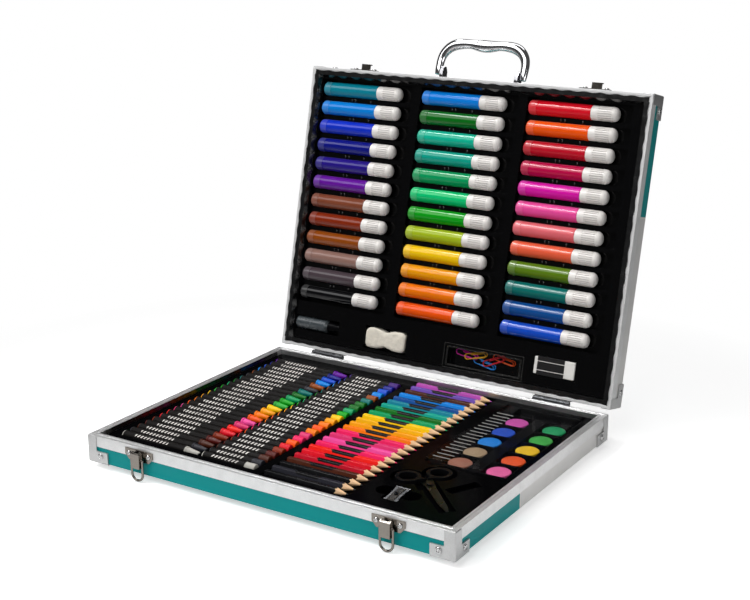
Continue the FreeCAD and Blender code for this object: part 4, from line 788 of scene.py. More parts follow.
class ARTCASE_OT_rivets(bpy.types.Operator):
    """Sets the tubular rivets of caps, latches and hinges"""
    bl_idname = "artcase.rivets"
    bl_label = "Rivets"

    def execute(self, context):
        steel = metal_finish("rivet steel", colours().steel, 0.22, 900, 0.03)
        for half, swing in (("base", Matrix()), ("lid", OPEN_LID)):
            heads = []
            for place, out, radius, crown in self.places(half, swing.inverted()):
                stand = Z_WAY.rotation_difference(out).to_matrix().to_4x4()
                heads.append(copies(self.head(radius, crown), "rivet", [swing @ Matrix.Translation(place) @ stand]))
            settle(join(heads, f"{half}_rivet_heads"), half, "rivet_metal", steel, f"{half}_rivets")
        return {"FINISHED"}

    def places(self, half, shut):
        """Where the rivets stand, on the shut case: (place, outward, radius, crown) for each."""
        work = bmesh.new()
        work.from_mesh(frame["nodes"][f"{half}_rivets"].data)
        work.transform(shut)
        bmesh.ops.remove_doubles(work, verts=work.verts, dist=WELD)
        places, known = [], set()
        for first in work.verts:
            if first in known:
                continue
            island, grow = {first}, [first]
            while grow:
                near = {other for edge in grow.pop().link_edges for other in edge.verts} - island
                island |= near
                grow += near
            known |= island
            low, high = extent(point.co for point in island)
            size = high - low
            thin = min(range(3), key=lambda i: size[i])
            middle = (low + high) / 2
            out = Vector((0, 0, 0))
            out[thin] = math.copysign(1, middle[thin])
            places.append((middle - out * size[thin] / 2, out, max(size) / 2, size[thin]))
        work.free()
        return places

    def head(self, radius, crown):
        """A tubular rivet: a rounded flange with a dimple in the middle, standing on Z."""
        head = disc("rivet_head", radius, crown, 24)
        edit(head)
        soften(head, crown * 0.75, 4, lambda point: point.z > crown * 0.9)
        pick_facing(head, Z_WAY)
        for inward, rise in ((0.12, 0), (0.1, -0.4), (0.12, 0.22)):
            bpy.ops.mesh.inset(thickness=radius * inward, depth=crown * rise)
        done()
        smooth(head)
        return head


class ARTCASE_OT_feet(bpy.types.Operator):
    """Moulds the four feet under the base"""
    bl_idname = "artcase.feet"
    bl_label = "Feet"

    def execute(self, context):
        rubber = plastic_finish("foot rubber", hue("black"), 0.7, 900, 0.05)
        dress("rubber_feet", "base_feet", "base", "foot_plastic", rubber, 1 * MM, 3)
        return {"FINISHED"}


class ARTCASE_OT_hinges(bpy.types.Operator):
    """Finishes the hinge leaves, their knuckles and pins"""
    bl_idname = "artcase.hinges"
    bl_label = "Hinges"

    def execute(self, context):
        dark = metal_finish("hinge steel", tone("#454648"), 0.3, 700, 0.1)
        for half in ("base", "lid"):
            dress(f"{half}_hinge_leaves", f"hinge_{half}_leaves", half, "hinge_metal", dark, sizes().edge * 0.8)
        dress("hinge_wires", "hinge_pins", "base", "hinge_metal", dark, 0.25 * MM)
        return {"FINISHED"}


class ARTCASE_OT_latches(bpy.types.Operator):
    """Builds the latches: plates, hooks, folded levers and bent wire loops"""
    bl_idname = "artcase.latches"
    bl_label = "Latches"

    def execute(self, context):
        nickel = nickel_finish()
        for name, node, body in (("latch_base_plates", "latch_plates", "base"),
                                 ("latch_hook_plates", "latch_hooks", "lid"),
                                 ("latch_pins", "latch_pivot_pins", "base")):
            dress(name, node, body, "latch_metal", nickel, sizes().edge, 3)
        for side in ("left", "right"):
            dress(f"lever_{side}_channel", f"latch_lever_{side}", f"lever_{side}", "latch_metal", nickel,
                  sizes().edge * 1.1, 3)
            self.loop(side, nickel)
        return {"FINISHED"}

    def loop(self, side, nickel):
        """A wire loop, bent flat from its left end and stood up about its pivot."""
        wire, half, bend, inside, reach = 1.2 * MM, 6.4 * MM, 1.5 * MM, 4.2 * MM, 21.2 * MM
        leg = reach - half - bend
        steps = [half - bend - inside, (bend, -90), leg, (half, -180), leg, (bend, -90), half - bend - inside]
        loop = bend_wire(f"bail_{side}_wire", wire, (inside, 0, 0), steps, 14)
        pivot = Vector(JOINTS[f"bail_{side}_swing"]["pos_m"])
        turn(loop, Matrix.Translation(pivot) @ Matrix.Rotation(math.pi / 2, 4, "X"))
        settle(loop, f"bail_{side}", "latch_metal", nickel, f"latch_bail_{side}")


# The right half of the handle from its foot to the middle: place, rise above the pivot and thickness, in millimetres
HANDLE_LINE = ((50, -3.4, 6.8), (50, 0, 8.0), (50, 6, 8.4), (50, 12, 8.8), (48.4, 19, 9.6), (43.5, 25.6, 10.8),
               (36.5, 29.8, 11.6), (29, 31.2, 11.0), (23, 31.6, 10.0), (17, 31.6, 9.6), (11.5, 31.0, 10.8),
               (6, 30.4, 12.4), (0, 30.2, 13.0))
HANDLE_FLATNESS = 0.85
HANDLE_LEAN = math.radians(10)


class ARTCASE_OT_handle(bpy.types.Operator):
    """Casts the chromed handle with its finger waves, and its brackets"""
    bl_idname = "artcase.handle"
    bl_label = "Handle"

    def execute(self, context):
        chrome = metal_finish("chrome", colours().chrome, 0.1, 200, 0.02, depth=0.0001)
        pivot = Vector(JOINTS["handle_swing"]["pos_m"])
        grip = self.grip()
        turn(grip, Matrix.Translation(pivot) @ Matrix.Rotation(-LID_ANGLE - HANDLE_LEAN, 4, "X"))
        settle(grip, "handle", "handle_metal", chrome, "handle_grip")
        bright = metal_finish("bracket chrome", tone("#8b8b8e"), 0.16, 400, 0.04)
        dress("handle_mounts", "handle_brackets", "lid", "handle_metal", bright, 0.6 * MM, 3)
        dress("handle_pin_ends", "handle_pins", "lid", "handle_metal", bright, 0.4 * MM)
        return {"FINISHED"}

    def grip(self):
        """An arch of changing thickness, round its bend and a little flattened."""
        line = HANDLE_LINE + tuple((-x, rise, thick) for x, rise, thick in HANDLE_LINE[-2::-1])
        nothing()
        bpy.ops.curve.primitive_nurbs_path_add()
        path = bpy.context.object
        spline = path.data.splines[0]
        spline.points.add(len(line) - len(spline.points))
        for point, (x, rise, thick) in zip(spline.points, line):
            point.co = (x * MM, -rise * MM, 0, 1)
            point.radius = thick / 2
        spline.order_u = 3
        spline.use_endpoint_u = True
        path.data.resolution_u = 12
        path.data.bevel_depth = 1 * MM
        path.data.bevel_resolution = 10
        path.data.use_fill_caps = True
        bpy.ops.object.convert(target="MESH")
        grip = added("handle_arch")
        outward(grip)
        round_edges(grip, 1.2 * MM, 3, 60)
        edit(grip)
        bpy.ops.transform.resize(value=(1, 1, HANDLE_FLATNESS))
        done()
        smooth(grip, 60)
        return grip


MARKER_RADIUS = 7.7 * MM
MARKER_STEP = 125.6 * MM
MARKER_ROWS = Rows("marker_barrels", MARKER_RADIUS, len(MARKERS[0]), SHUT_LID, len(MARKERS), MARKER_STEP)
MARKER_SEAT, RIB_HEIGHT = 0.2 * MM, 9 * MM
RIB_TOP = MARKER_ROWS.high.z + MARKER_SEAT - RIB_HEIGHT
SHEET = 0.12 * MM  # thickness of the trays' edge strips


class ARTCASE_OT_trays(bpy.types.Operator):
    """Forms the two black trays, the holding nubs, and the edges that line the rims"""
    bl_idname = "artcase.trays"
    bl_label = "Trays"

    def execute(self, context):
        for half, gloss in (("base", 0.008), ("lid", 0.3)):
            black = formed_finish(f"formed black sheet of {half}", 0.13, 0.004, gloss)
            dress(f"{half}_tray_sheet", f"{half}_tray", half, "tray_plastic", black, sizes().form, 3)
        self.nubs()
        lip = formed_finish("formed tray lip", 0.22, 0.004, 1.0)
        self.edges("base", Matrix(), lip)
        self.edges("lid", OPEN_LID, lip)
        return {"FINISHED"}

    def nubs(self):
        """Small bumps on the ribs that hold each marker."""
        nub_half = (0.9 * MM, 2.2 * MM, 1.5 * MM)
        nub_places = (36 * MM, 40.5 * MM, 60 * MM)
        nothing()
        bpy.ops.mesh.primitive_ico_sphere_add(subdivisions=2, radius=1)
        nub = added("nub")
        edit(nub)
        bpy.ops.transform.resize(value=nub_half)
        done()
        smooth(nub, 80)
        places = []
        for column in range(len(MARKERS)):
            left = MARKER_ROWS.low.x + column * MARKER_STEP
            for row in range(len(MARKERS[0]) - 1):
                y = MARKER_ROWS.first + (row + 0.5) * MARKER_ROWS.pitch
                places += [OPEN_LID @ Matrix.Translation((left + x, y, RIB_TOP)) for x in nub_places]
        nubs = copies(nub, "marker_nubs", places)
        settle(nubs, "lid", "tray_plastic", formed_finish("formed nubs", 0.16, 0.002, 0.9))

    def edges(self, half, swing, finish):
        """The tray edges that line a rim: four, waved and turned over it, in the lid; three plain ones in the base."""
        short = 8 * MM  # what the base's strips leave free at the corners
        shut = swing.inverted()
        low, high = rows_of(f"{half}_tray", shut)
        rim_low, rim_high = rows_of(f"{half}_rim", shut)
        if half == "base":
            shape = self.base_wall(rim_high.z - high.z)
            deck, up, waved = high.z, 1, False
            back, past = short, -short
        else:
            shape = self.lid_wall(low.z - rim_low.z)
            deck, up, waved = low.z, -1, True
            back, past = 0, sizes().lip
        sides = [((low.x, low.y + back), (low.x, high.y - back)), ((high.x, high.y - back), (high.x, low.y + back)),
                 ((high.x + past, low.y), (low.x - past, low.y))]
        if half == "lid":
            sides.append(((low.x - past, high.y), (high.x + past, high.y)))
        strips = [self.strip(Vector((*start, deck)), Vector((*end, deck)), up, waved, shape) for start, end in sides]
        edges = join(strips, f"{half}_tray_edges")
        outward(edges)
        turn(edges, swing)
        smooth(edges, 50)
        settle(edges, half, "tray_plastic", finish)

    def base_wall(self, rise):
        """The base strip's section: (outwards, upwards) for each of its five rows."""
        section = ((-0.5, 0.1), (-0.2, 0.4), (0, 0.7), (0.1, 0.86), (0.15, 0.92))
        return lambda wave, out: [(sideways * MM, share * rise) for sideways, share in section]

    def lid_wall(self, rise):
        """The lid strip's section: up the rim's inner wall, bulging with the wave, and out over its face."""
        steep, top = -0.15 * MM, rise + SHEET

        def section(wave, out):
            bulge = 1.4 * MM * wave
            lip = sizes().lip + sizes().scallop_depth * 0.25 * wave
            if out.y > 0.5:  # along the hinges the wall is steep, clear of the recesses beside it
                inner = [(steep, 0.6 * rise), (steep, 0.8 * rise)]
            else:
                inner = [(-1.4 * MM - bulge, 0.06 * rise), (-0.6 * MM - bulge, 0.55 * rise)]
            return inner + [(steep, top), (lip * 0.6, top), (lip, top)]
        return section

    def strip(self, start, end, up, waved, section):
        """One side's strip of thin sheet from start to end, on the left of that way."""
        span = (end - start).length
        way = (end - start).normalized()
        out = Vector((-way.y, way.x, 0))
        waves = round(span / sizes().scallop) if waved else 0
        nothing()
        bpy.ops.mesh.primitive_grid_add(x_subdivisions=max(waves * 8, 8), y_subdivisions=4, size=1)
        strip = added("edge")
        for point in strip.data.vertices:
            along, row = point.co.x + 0.5, round((point.co.y + 0.5) * 4)
            wave = 0.5 + 0.5 * math.cos(2 * math.pi * waves * along) if waves else 0
            sideways, height = section(wave, out)[row]
            point.co = start + way * (span * along) + out * sideways + Z_WAY * (up * height)
        modify(strip, "SOLIDIFY", thickness=SHEET, offset=0)
        return strip


class ARTCASE_OT_markers(bpy.types.Operator):
    """Turns the felt markers: plugged barrels and ribbed caps"""
    bl_idname = "artcase.markers"
    bl_label = "Markers"

    def execute(self, context):
        length = MARKER_ROWS.length
        places = [OPEN_LID @ place for place in MARKER_ROWS.places]
        tints = [self.plugged(rich(name)) for names in MARKERS for name in names]
        barrels = copies(self.barrel(length), "marker_bodies", places, tints)
        gloss = tinted_finish("marker gloss", 0.11, 500, 0.001, 0.03, Specular_IOR_Level=0.32)
        settle(barrels, "lid", "marker_plastic", gloss, "marker_barrels")
        low, high = rows_of("marker_caps", SHUT_LID)
        cap = self.cap(length, high.x - low.x - 2 * MARKER_STEP - sizes().cap_short)
        # each cap takes a tint with painted shade in its rib grooves
        caps = copies(cap, "marker_ribbed_caps", places, [self.groove_shaded_tint(length)] * len(places))
        white = tinted_finish("white cap plastic", 0.34, 600, 0.004, 0.03)
        settle(caps, "lid", "marker_cap_plastic", white, "marker_caps")
        return {"FINISHED"}

    def plugged(self, colour):
        """A barrel's tint: a little lighter on its end plug."""
        plug = sizes().plug
        light = tuple(0.8 * c + 0.2 * (0.2 + 0.8 * c) for c in colour)
        return lambda point: light if point.x < plug else colour

    def groove_shaded_tint(self, start):
        """A cap's tint with painted shade: darker in the grooves between its ribs, where shade falls."""
        rib_radius, ribs_end = 6.9 * MM, 23 * MM
        bright = tuple(colours().cap)
        # painted shade: the groove colour is the cap's white darkened to stand for the shade that falls in the grooves
        dark = tuple(0.8 * c for c in bright)
        return lambda point: bright if (math.hypot(point.y, point.z) > rib_radius
                                        or point.x > start + ribs_end) else dark

    def barrel(self, length):
        plug = sizes().plug
        barrel = bar("barrel", 0, length, MARKER_RADIUS, 40)
        edit(barrel)
        cut_across(plug, plug + 0.25 * MM, plug + 0.75 * MM, plug + 1 * MM)
        pick(barrel, "VERT", lambda point: plug + 0.2 * MM < point.co.x < plug + 0.8 * MM)
        narrow(0.955)
        soften_end(barrel, 0, 2.6 * MM, 5)
        soften_end(barrel, length, 0.4 * MM, 2)
        done()
        smooth(barrel)
        return barrel

    def cap(self, start, length):
        """A domed cap with a ring groove near its mouth and grip ribs beyond."""
        radius, ring, ring_half, ribs_start, ribs_end = 7.5 * MM, 7 * MM, 0.6 * MM, 7.6 * MM, 22.5 * MM
        ribs = sizes().cap_ribs
        cap = bar("cap", start, start + length, radius, 2 * ribs)
        edit(cap)
        cut_across(start + ring - ring_half, start + ring, start + ribs_start, start + ribs_end)
        soften_end(cap, start + length, 5.6 * MM, 7)
        pick(cap, "VERT", lambda point: abs(point.co.x - start - ring) < 0.1 * MM)
        narrow(0.965)
        soften_end(cap, start, 0.5 * MM, 2)

        def in_groove(face):
            middle = face.calc_center_median()
            around = math.atan2(middle.z, middle.y) % (2 * math.pi)
            return (start + ribs_start < middle.x < start + ribs_end and abs(face.normal.x) < 0.1
                    and int(around / (math.pi / ribs)) % 2 == 0)

        pick(cap, "FACE", in_groove)
        bpy.ops.mesh.inset(thickness=0.2 * MM, depth=-0.8 * MM, use_individual=True)
        done()
        smooth(cap, 30)
        return cap


class ARTCASE_OT_sticks(bpy.types.Operator):
    """Moulds the crayons and oil pastels and rolls their paper wraps"""
    bl_idname = "artcase.sticks"
    bl_label = "Crayons and pastels"
    radius = 4.5 * MM
    # Kind, colours, and where the dashes on the wraps start and end
    kinds = (("crayon", CRAYONS, 16 * MM, 56 * MM), ("pastel", PASTELS, 11 * MM, 42 * MM))

    def execute(self, context):
        wax = tinted_finish("wax", 0.42, 700, 0.06, 0.1, Specular_IOR_Level=0.2)
        for kind, names, start, end in self.kinds:
            rows = Rows(f"{kind}_sticks", self.radius, len(names))
            stick = self.crayon(rows.length) if kind == "crayon" else self.pastel(rows.length)
            sticks = copies(stick, f"{kind}_wax_sticks", rows.places, [plain(rich(name)) for name in names])
            settle(sticks, "base", f"{kind}_wax", wax, f"{kind}_sticks")
            low, high = rows_of(f"{kind}_wraps")
            reach = sizes().wrap_reach if kind == "crayon" else 0
            wraps = copies(self.wrap(high.x - low.x + reach), f"{kind}_paper_wraps", rows.places)
            paper = wrap_finish(f"{kind} wrap paper", rows, start, end)
            settle(wraps, "base", "wrap_paper", paper, f"{kind}_wraps")
        return {"FINISHED"}

    def crayon(self, length):
        """A stick with a cone, a blunt tip and a rounded shoulder."""
        cone, shoulder, tip = 14 * MM, 0.5 * MM, 2 * MM
        stick = bar("stick", 0, length - cone, self.radius, 24)
        edit(stick)
        pick_facing(stick, X_WAY)
        bpy.ops.mesh.inset(thickness=shoulder)
        push((cone, 0, 0))
        narrow(tip / (self.radius - shoulder))
        return self.soft_ends(stick, length, 1.1 * MM)

    def pastel(self, length):
        """A plain round stick with softened ends."""
        stick = bar("stick", 0, length, self.radius, 24)
        edit(stick)
        return self.soft_ends(stick, length, 0.9 * MM)

    def soft_ends(self, stick, length, offset):
        soften_end(stick, length, offset, 3)
        soften_end(stick, 0, 0.6 * MM, 2)
        done()
        smooth(stick, 30)
        return stick

    def wrap(self, length):
        """A rolled paper tube with a lapped edge along it."""
        start, ease, paper = 1.3 * MM, 0.08 * MM, 0.1 * MM
        wrap = bar("wrap", start, length, self.radius + ease, 24, "NOTHING")
        edit(wrap)
        pick(wrap, "VERT", lambda point: point.co.z > self.radius * 0.3 and abs(point.co.y) > self.radius * 0.85)
        narrow(1.006)
        done()
        modify(wrap, "SOLIDIFY", thickness=paper, offset=1)
        smooth(wrap, 40)
        return wrap


class ARTCASE_OT_pencils(bpy.types.Operator):
    """Sharpens the six-sided pencils and their coloured leads"""
    bl_idname = "artcase.pencils"
    bl_label = "Pencils"

    def execute(self, context):
        more_wood = 1.5 * MM  # how much further the wood runs along the lead than in CAD
        low, high = rows_of("pencil_barrels")
        tip = rows_of("pencil_leads")[1].x
        corner = (high.z - low.z) / 2
        rows = Rows("pencil_barrels", corner * math.cos(math.pi / 6), len(PENCILS))
        tints = [plain(rich(name)) for name in PENCILS]
        finishes = [lacquer_finish(rows), wood_finish()]
        barrel = self.barrel(rows.length + more_wood, corner, tip - high.x - more_wood, finishes)
        barrels = copies(barrel, "pencil_wood_barrels", rows.places, tints)
        settle(barrels, "base", "pencil_wood", finishes, "pencil_barrels")
        leads = copies(self.lead(rows.length, tip - low.x), "pencil_points", rows.places, tints)
        settle(leads, "base", "pencil_lead", tinted_finish("pencil lead", 0.5, 900, 0.02, 0.1), "pencil_leads")
        return {"FINISHED"}

    def barrel(self, length, corner, lead, finishes):
        """A six-sided bar cut by a cone: the flats run out in scallops."""
        barrel = bar("pencil", 0, length, corner, 6)
        edit(barrel)
        pick(barrel, "EDGE", lambda edge: abs((edge.verts[0].co - edge.verts[1].co).x) > length * 0.9)
        bpy.ops.mesh.bevel(offset=0.5 * MM, segments=3, affect="EDGES")
        soften_end(barrel, 0, 0.25 * MM, 2)
        done()
        for finish in finishes:
            barrel.data.materials.append(finish)
        cone = self.cone(length, corner, lead)
        cone.data.materials.append(finishes[1])
        modify(barrel, "BOOLEAN", operation="INTERSECT", object=cone, solver="EXACT", material_mode="TRANSFER")
        bpy.data.objects.remove(cone)
        smooth(barrel, 28)
        return barrel

    def cone(self, length, corner, lead):
        """What the sharpening leaves: a cone, carried back past the pencil's blunt end."""
        sharpening, tip, reach = 13 * MM - lead, 0.78 * MM, 40 * MM
        slope = (corner - tip) / sharpening
        depth = reach + sharpening
        nothing()
        bpy.ops.mesh.primitive_cone_add(vertices=40, radius1=tip + slope * depth, radius2=tip, depth=depth,
                                        location=(length - depth / 2, 0, 0), rotation=(0, math.pi / 2, 0))
        cone = added("sharpening")
        edit(cone)
        pick_facing(cone, -X_WAY)
        push((-length, 0, 0))
        done()
        return cone

    def lead(self, start, end):
        """A sharpened lead with a small blunt point."""
        lead = bar("lead", start, end, 1.1 * MM, 16)
        edit(lead)
        pick_facing(lead, X_WAY)
        narrow(0.22)
        soften_end(lead, end, 0.12 * MM, 2)
        done()
        smooth(lead, 40)
        return lead


class ARTCASE_OT_paint_box(bpy.types.Operator):
    """Fills the paint box with cakes under its fluted clear cover"""
    bl_idname = "artcase.paint_box"
    bl_label = "Paint box"

    def execute(self, context):
        dress("paint_tray_moulding", "paint_tray", "paint_box", "paint_tray_plastic", black_gloss_finish(),
              0.5 * MM, 3)
        low, high = rows_of("paint_cakes")
        radius = 11.5 * MM
        step_x = high.x - low.x - 2 * radius
        step_y = (high.y - low.y - 2 * radius) / (len(CAKES[0]) - 1)
        places = [Matrix.Translation((low.x + radius + column * step_x, low.y + radius + row * step_y, low.z))
                  for column, names in enumerate(CAKES) for row in range(len(names))]
        tints = [plain(hue(name)) for names in CAKES for name in names]
        cakes = copies(self.cake(radius, high.z - low.z), "paint_cake_discs", places, tints)
        settle(cakes, "paint_box", "paint_cake", tinted_finish("dry paint", 0.55, 420, 0.12, 0.12), "paint_cakes")
        # the clear cover, and a white painted highlight for its flute ridges
        finishes = clear_pair("clear cover", 0.08, 0.75)
        cover = dress("paint_cover", "paint_lid", "paint_lid", "clear_plastic", finishes, 0.35 * MM)
        ridges = rows_of("paint_lid")[1].z - 0.62 * MM
        # painted highlight: the front faces of the flute ridges near the top take the white finish
        paint_highlight_faces(cover, lambda polygon: polygon.center.z > ridges and polygon.normal.y < -0.2)
        return {"FINISHED"}

    def cake(self, radius, height):
        """A pressed disc: a rounded rim and a shallow crown."""
        cake = disc("cake", radius, height * 0.9, 40)
        edit(cake)
        soften(cake, 1.1 * MM, 4, lambda point: point.z > height * 0.8)
        pick_facing(cake, Z_WAY)
        for share in (0.16, 0.2, 0.24):
            bpy.ops.mesh.inset(thickness=radius * share, depth=height * 0.03)
        done()
        smooth(cake, 50)
        return cake


class ARTCASE_OT_scissors(bpy.types.Operator):
    """Moulds the scissors' finger grips and grinds their blades"""
    bl_idname = "artcase.scissors"
    bl_label = "Scissors"

    def execute(self, context):
        gloss, steel = black_gloss_finish(), ground_steel_finish()
        for name, body in (("lower", "scissors"), ("upper", "scissors_upper")):
            dress(f"scissor_{name}_grip", f"scissor_grip_{name}", body, "grip_plastic", gloss, 1.3 * MM, 4, 50)
            dress(f"scissor_{name}_blade", f"scissor_blade_{name}", body, "blade_steel", steel, 0.25 * MM)
        dress("scissor_pin", "scissor_rivet", "scissors", "blade_steel", steel, 0.45 * MM, 3)
        return {"FINISHED"}


class ARTCASE_OT_sharpener(bpy.types.Operator):
    """Finishes the sharpener with finger ribs, blade and slotted screw"""
    bl_idname = "artcase.sharpener"
    bl_label = "Sharpener"

    def execute(self, context):
        dress("sharpener_casting", "sharpener_body", "sharpener", "sharpener_metal", cast_finish(), 0.4 * MM)
        dress("sharpener_ground_blade", "sharpener_blade", "sharpener", "blade_steel", nickel_finish(), 0.15 * MM)
        self.screw()
        return {"FINISHED"}

    def screw(self):
        """A round screw head with a slot across it, stood on the blade's slope."""
        radius, height, slot_half, slot_floor, slot_turn = 2.2 * MM, 1.6 * MM, 0.35 * MM, 1 * MM, 0.6
        blade_slope = math.atan2(3.5, 25)
        low, high = rows_of("sharpener_screw")
        screw = disc("sharpener_slotted_screw", radius, height, 28)
        edit(screw)
        soften(screw, 0.5 * MM, 3, lambda point: point.z > height - 0.1 * MM)
        done()
        slot = block("slot", (-3 * MM, -slot_half, slot_floor), (3 * MM, slot_half, 3 * MM))
        modify(screw, "BOOLEAN", operation="DIFFERENCE", object=slot, solver="EXACT")
        bpy.data.objects.remove(slot)
        smooth(screw, 30)
        tilt = Matrix.Rotation(blade_slope, 4, "X")
        foot = (low + high) / 2 - tilt @ Vector((0, 0, height / 2))
        turn(screw, Matrix.Translation(foot) @ tilt @ Matrix.Rotation(slot_turn, 4, "Z"))
        settle(screw, "sharpener", "blade_steel", ground_steel_finish(), "sharpener_screw")


class ARTCASE_OT_glue(bpy.types.Operator):
    """Turns the glue tube and its tapered cap"""
    bl_idname = "artcase.glue"
    bl_label = "Glue"

    def execute(self, context):
        low, high = rows_of("glue_tube", SHUT_LID)
        place = OPEN_LID @ Matrix.Translation((low.x, (low.y + high.y) / 2, (low.z + high.z) / 2))
        length, reach = high.x - low.x, rows_of("glue_cap", SHUT_LID)[1].x - low.x
        smoky = plastic_finish("smoky plastic", tone("#4d5458"), 0.25, 500, 0.02, Transmission_Weight=0.25)
        for piece, slot, finish, node in (
                (self.tube(length, (high.y - low.y) / 2), "glue_plastic", smoky, "glue_tube"),
                (self.cap(length, reach), "glue_cap_plastic", black_gloss_finish(), "glue_cap")):
            smooth(piece)
            turn(piece, place)
            settle(piece, "glue", slot, finish, node)
        return {"FINISHED"}

    def tube(self, length, radius):
        """A bottle with a round foot, a tapered shoulder and a ring groove."""
        shoulder, groove = 3 * MM, 10 * MM
        tube = bar("glue_bottle", 0, length - shoulder, radius, 36)
        edit(tube)
        pick_facing(tube, X_WAY)
        push((shoulder, 0, 0))
        narrow(0.6)
        soften_end(tube, 0, 2 * MM, 4)
        cut_across(groove, groove + 0.4 * MM, groove + 1 * MM, groove + 1.4 * MM)
        pick(tube, "VERT", lambda point: groove + 0.2 * MM < point.co.x < groove + 1.2 * MM)
        narrow(0.96)
        done()
        return tube

    def cap(self, start, end):
        """A tapered cap with a grip of flat grooves."""
        cap = bar("glue_screw_cap", start, end, 6 * MM, 28)
        edit(cap)
        pick_facing(cap, X_WAY)
        narrow(0.68)
        pick(cap, "FACE", lambda face: abs(face.normal.x) < 0.5)
        bpy.ops.mesh.inset(thickness=0.16 * MM, depth=-0.2 * MM, use_individual=True)
        soften_end(cap, end, 0.8 * MM, 3)
        done()
        return cap


class ARTCASE_OT_sponge(bpy.types.Operator):
    """Cuts the bone-shaped sponge: soft edges and an uneven, open surface"""
    bl_idname = "artcase.sponge"
    bl_label = "Sponge"

    def execute(self, context):
        shrink, voxel, swell = (0.97, 0.95, 0.95), 0.9 * MM, 1.2 * MM
        sponge = cad_copy("foam_sponge", "sponge")
        turn(sponge, SHUT_LID)
        low, high = rows_of("sponge", SHUT_LID)
        edit(sponge)
        bpy.ops.transform.resize(value=shrink, center_override=(low + high) / 2)
        done()
        round_edges(sponge, 3 * MM, 4, 50)
        modify(sponge, "REMESH", mode="VOXEL", voxel_size=voxel)
        modify(sponge, "SMOOTH", factor=0.8, iterations=8)
        clouds = bpy.data.textures.new("foam swell", "CLOUDS")
        clouds.noise_scale = 8 * MM
        modify(sponge, "DISPLACE", texture=clouds, strength=swell, mid_level=0.6, texture_coords="LOCAL")
        smooth(sponge, 80)
        turn(sponge, OPEN_LID)
        settle(sponge, "sponge", "sponge_foam", foam_finish(), "sponge")
        return {"FINISHED"}


# How each paper clip lies in its bay: across and along in millimetres, turn in degrees, height in millimetres
CLIPS_LIE = ((-24, -3.2, 8, 0.2), (-13, -3.6, -14, 1.2), (-2, 3.4, 12, 0.4), (9, -1.6, -24, 1.6),
             (20, -4.2, 10, 0.3))


class ARTCASE_OT_clips(bpy.types.Operator):
    """Bends the paper clips and lays them in their bay under the clear cover"""
    bl_idname = "artcase.clips"
    bl_label = "Paper clips"

    def execute(self, context):
        low, high = rows_of("paper_clips", SHUT_LID)
        middle = (low + high) / 2
        made = []
        for name, (x, y, angle, lift) in zip(CLIPS, CLIPS_LIE):
            clip = self.clip()
            tint(clip, plain(hue(name)))
            spot = Vector((middle.x + x * MM, middle.y + y * MM, high.z - (0.6 + lift) * MM))
            turn(clip, OPEN_LID @ Matrix.Translation(spot) @ Matrix.Rotation(math.radians(angle), 4, "Z"))
            made.append(clip)
        coated = tinted_finish("coated wire", 0.3, 500, 0.01, 0.04)
        settle(join(made, "bent_paper_clips"), "lid", "clip_metal", coated, "paper_clips")
        # the clear sheet, and a white painted highlight for its sloped edges
        finishes = clear_pair("clear sheet", 0.05, 0.08)
        cover = dress("clip_bay_cover", "clip_cover", "clip_cover", "clear_plastic", finishes, 0.25 * MM)
        face = OPEN_LID.to_3x3() @ Z_WAY
        # painted highlight: the cover's sloped edge faces take the white finish
        paint_highlight_faces(cover, lambda polygon: 0.2 < abs(polygon.normal.dot(face)) < 0.94)
        return {"FINISHED"}

    def clip(self):
        """One wire in three nested turns, lying flat with its middle at the origin."""
        wire = 0.55 * MM
        steps = [14 * MM, (2.2 * MM, 180), 19 * MM, (2.9 * MM, 180), 21 * MM, (2.55 * MM, 180), 14 * MM]
        clip = bend_wire("clip", wire, (0, 0, 0), steps, 8)
        low, high = extent(point.co for point in clip.data.vertices)
        turn(clip, Matrix.Translation(-(low + high) / 2))
        return clip


class ARTCASE_OT_eraser(bpy.types.Operator):
    """Moulds the eraser and folds its card sleeve"""
    bl_idname = "artcase.eraser"
    bl_label = "Eraser"

    def execute(self, context):
        low, high = rows_of("eraser_block", SHUT_LID)
        rubber = block("eraser_rubber_block", low, high)
        round_edges(rubber, 1.1 * MM, 4)
        smooth(rubber)
        turn(rubber, OPEN_LID)
        white = plastic_finish("eraser rubber", hue("white"), 0.6, 500, 0.06)
        settle(rubber, "eraser", "eraser_rubber", white, "eraser_block")
        across = OPEN_LID.to_3x3() @ Vector((0, 1, 0))
        card = sleeve_finish(across, across.dot(OPEN_LID @ ((low + high) / 2)))
        dress("eraser_card_sleeve", "eraser_sleeve", "eraser", "sleeve_card", card, 0.3 * MM)
        return {"FINISHED"}


# Name, place, aim, width and height in metres, and power in watts
LAMPS = (("key strip", (-0.85, -0.15, 2.0), (0, 0.05, 0.12), (2.2, 0.18), 27),
         ("front panel", (-0.6, -1.75, 2.25), (0, 0, 0.1), (3.2, 1.5), 52),
         ("top panel", (-0.3, 0.75, 1.9), (0, 0, 0.1), (1.8, 0.8), 9),
         ("right card", (1.8, -0.5, 0.5), (0.1, 0, 0.05), (1.0, 0.7), 7))
CAMERA_PLACE = (0.6954, -1.0741, 0.5381)
CAMERA_AROUND, CAMERA_ABOVE, CAMERA_ROLL = (math.radians(angle) for angle in (31.97, 16.51, 0.07))
LENS = 67.84


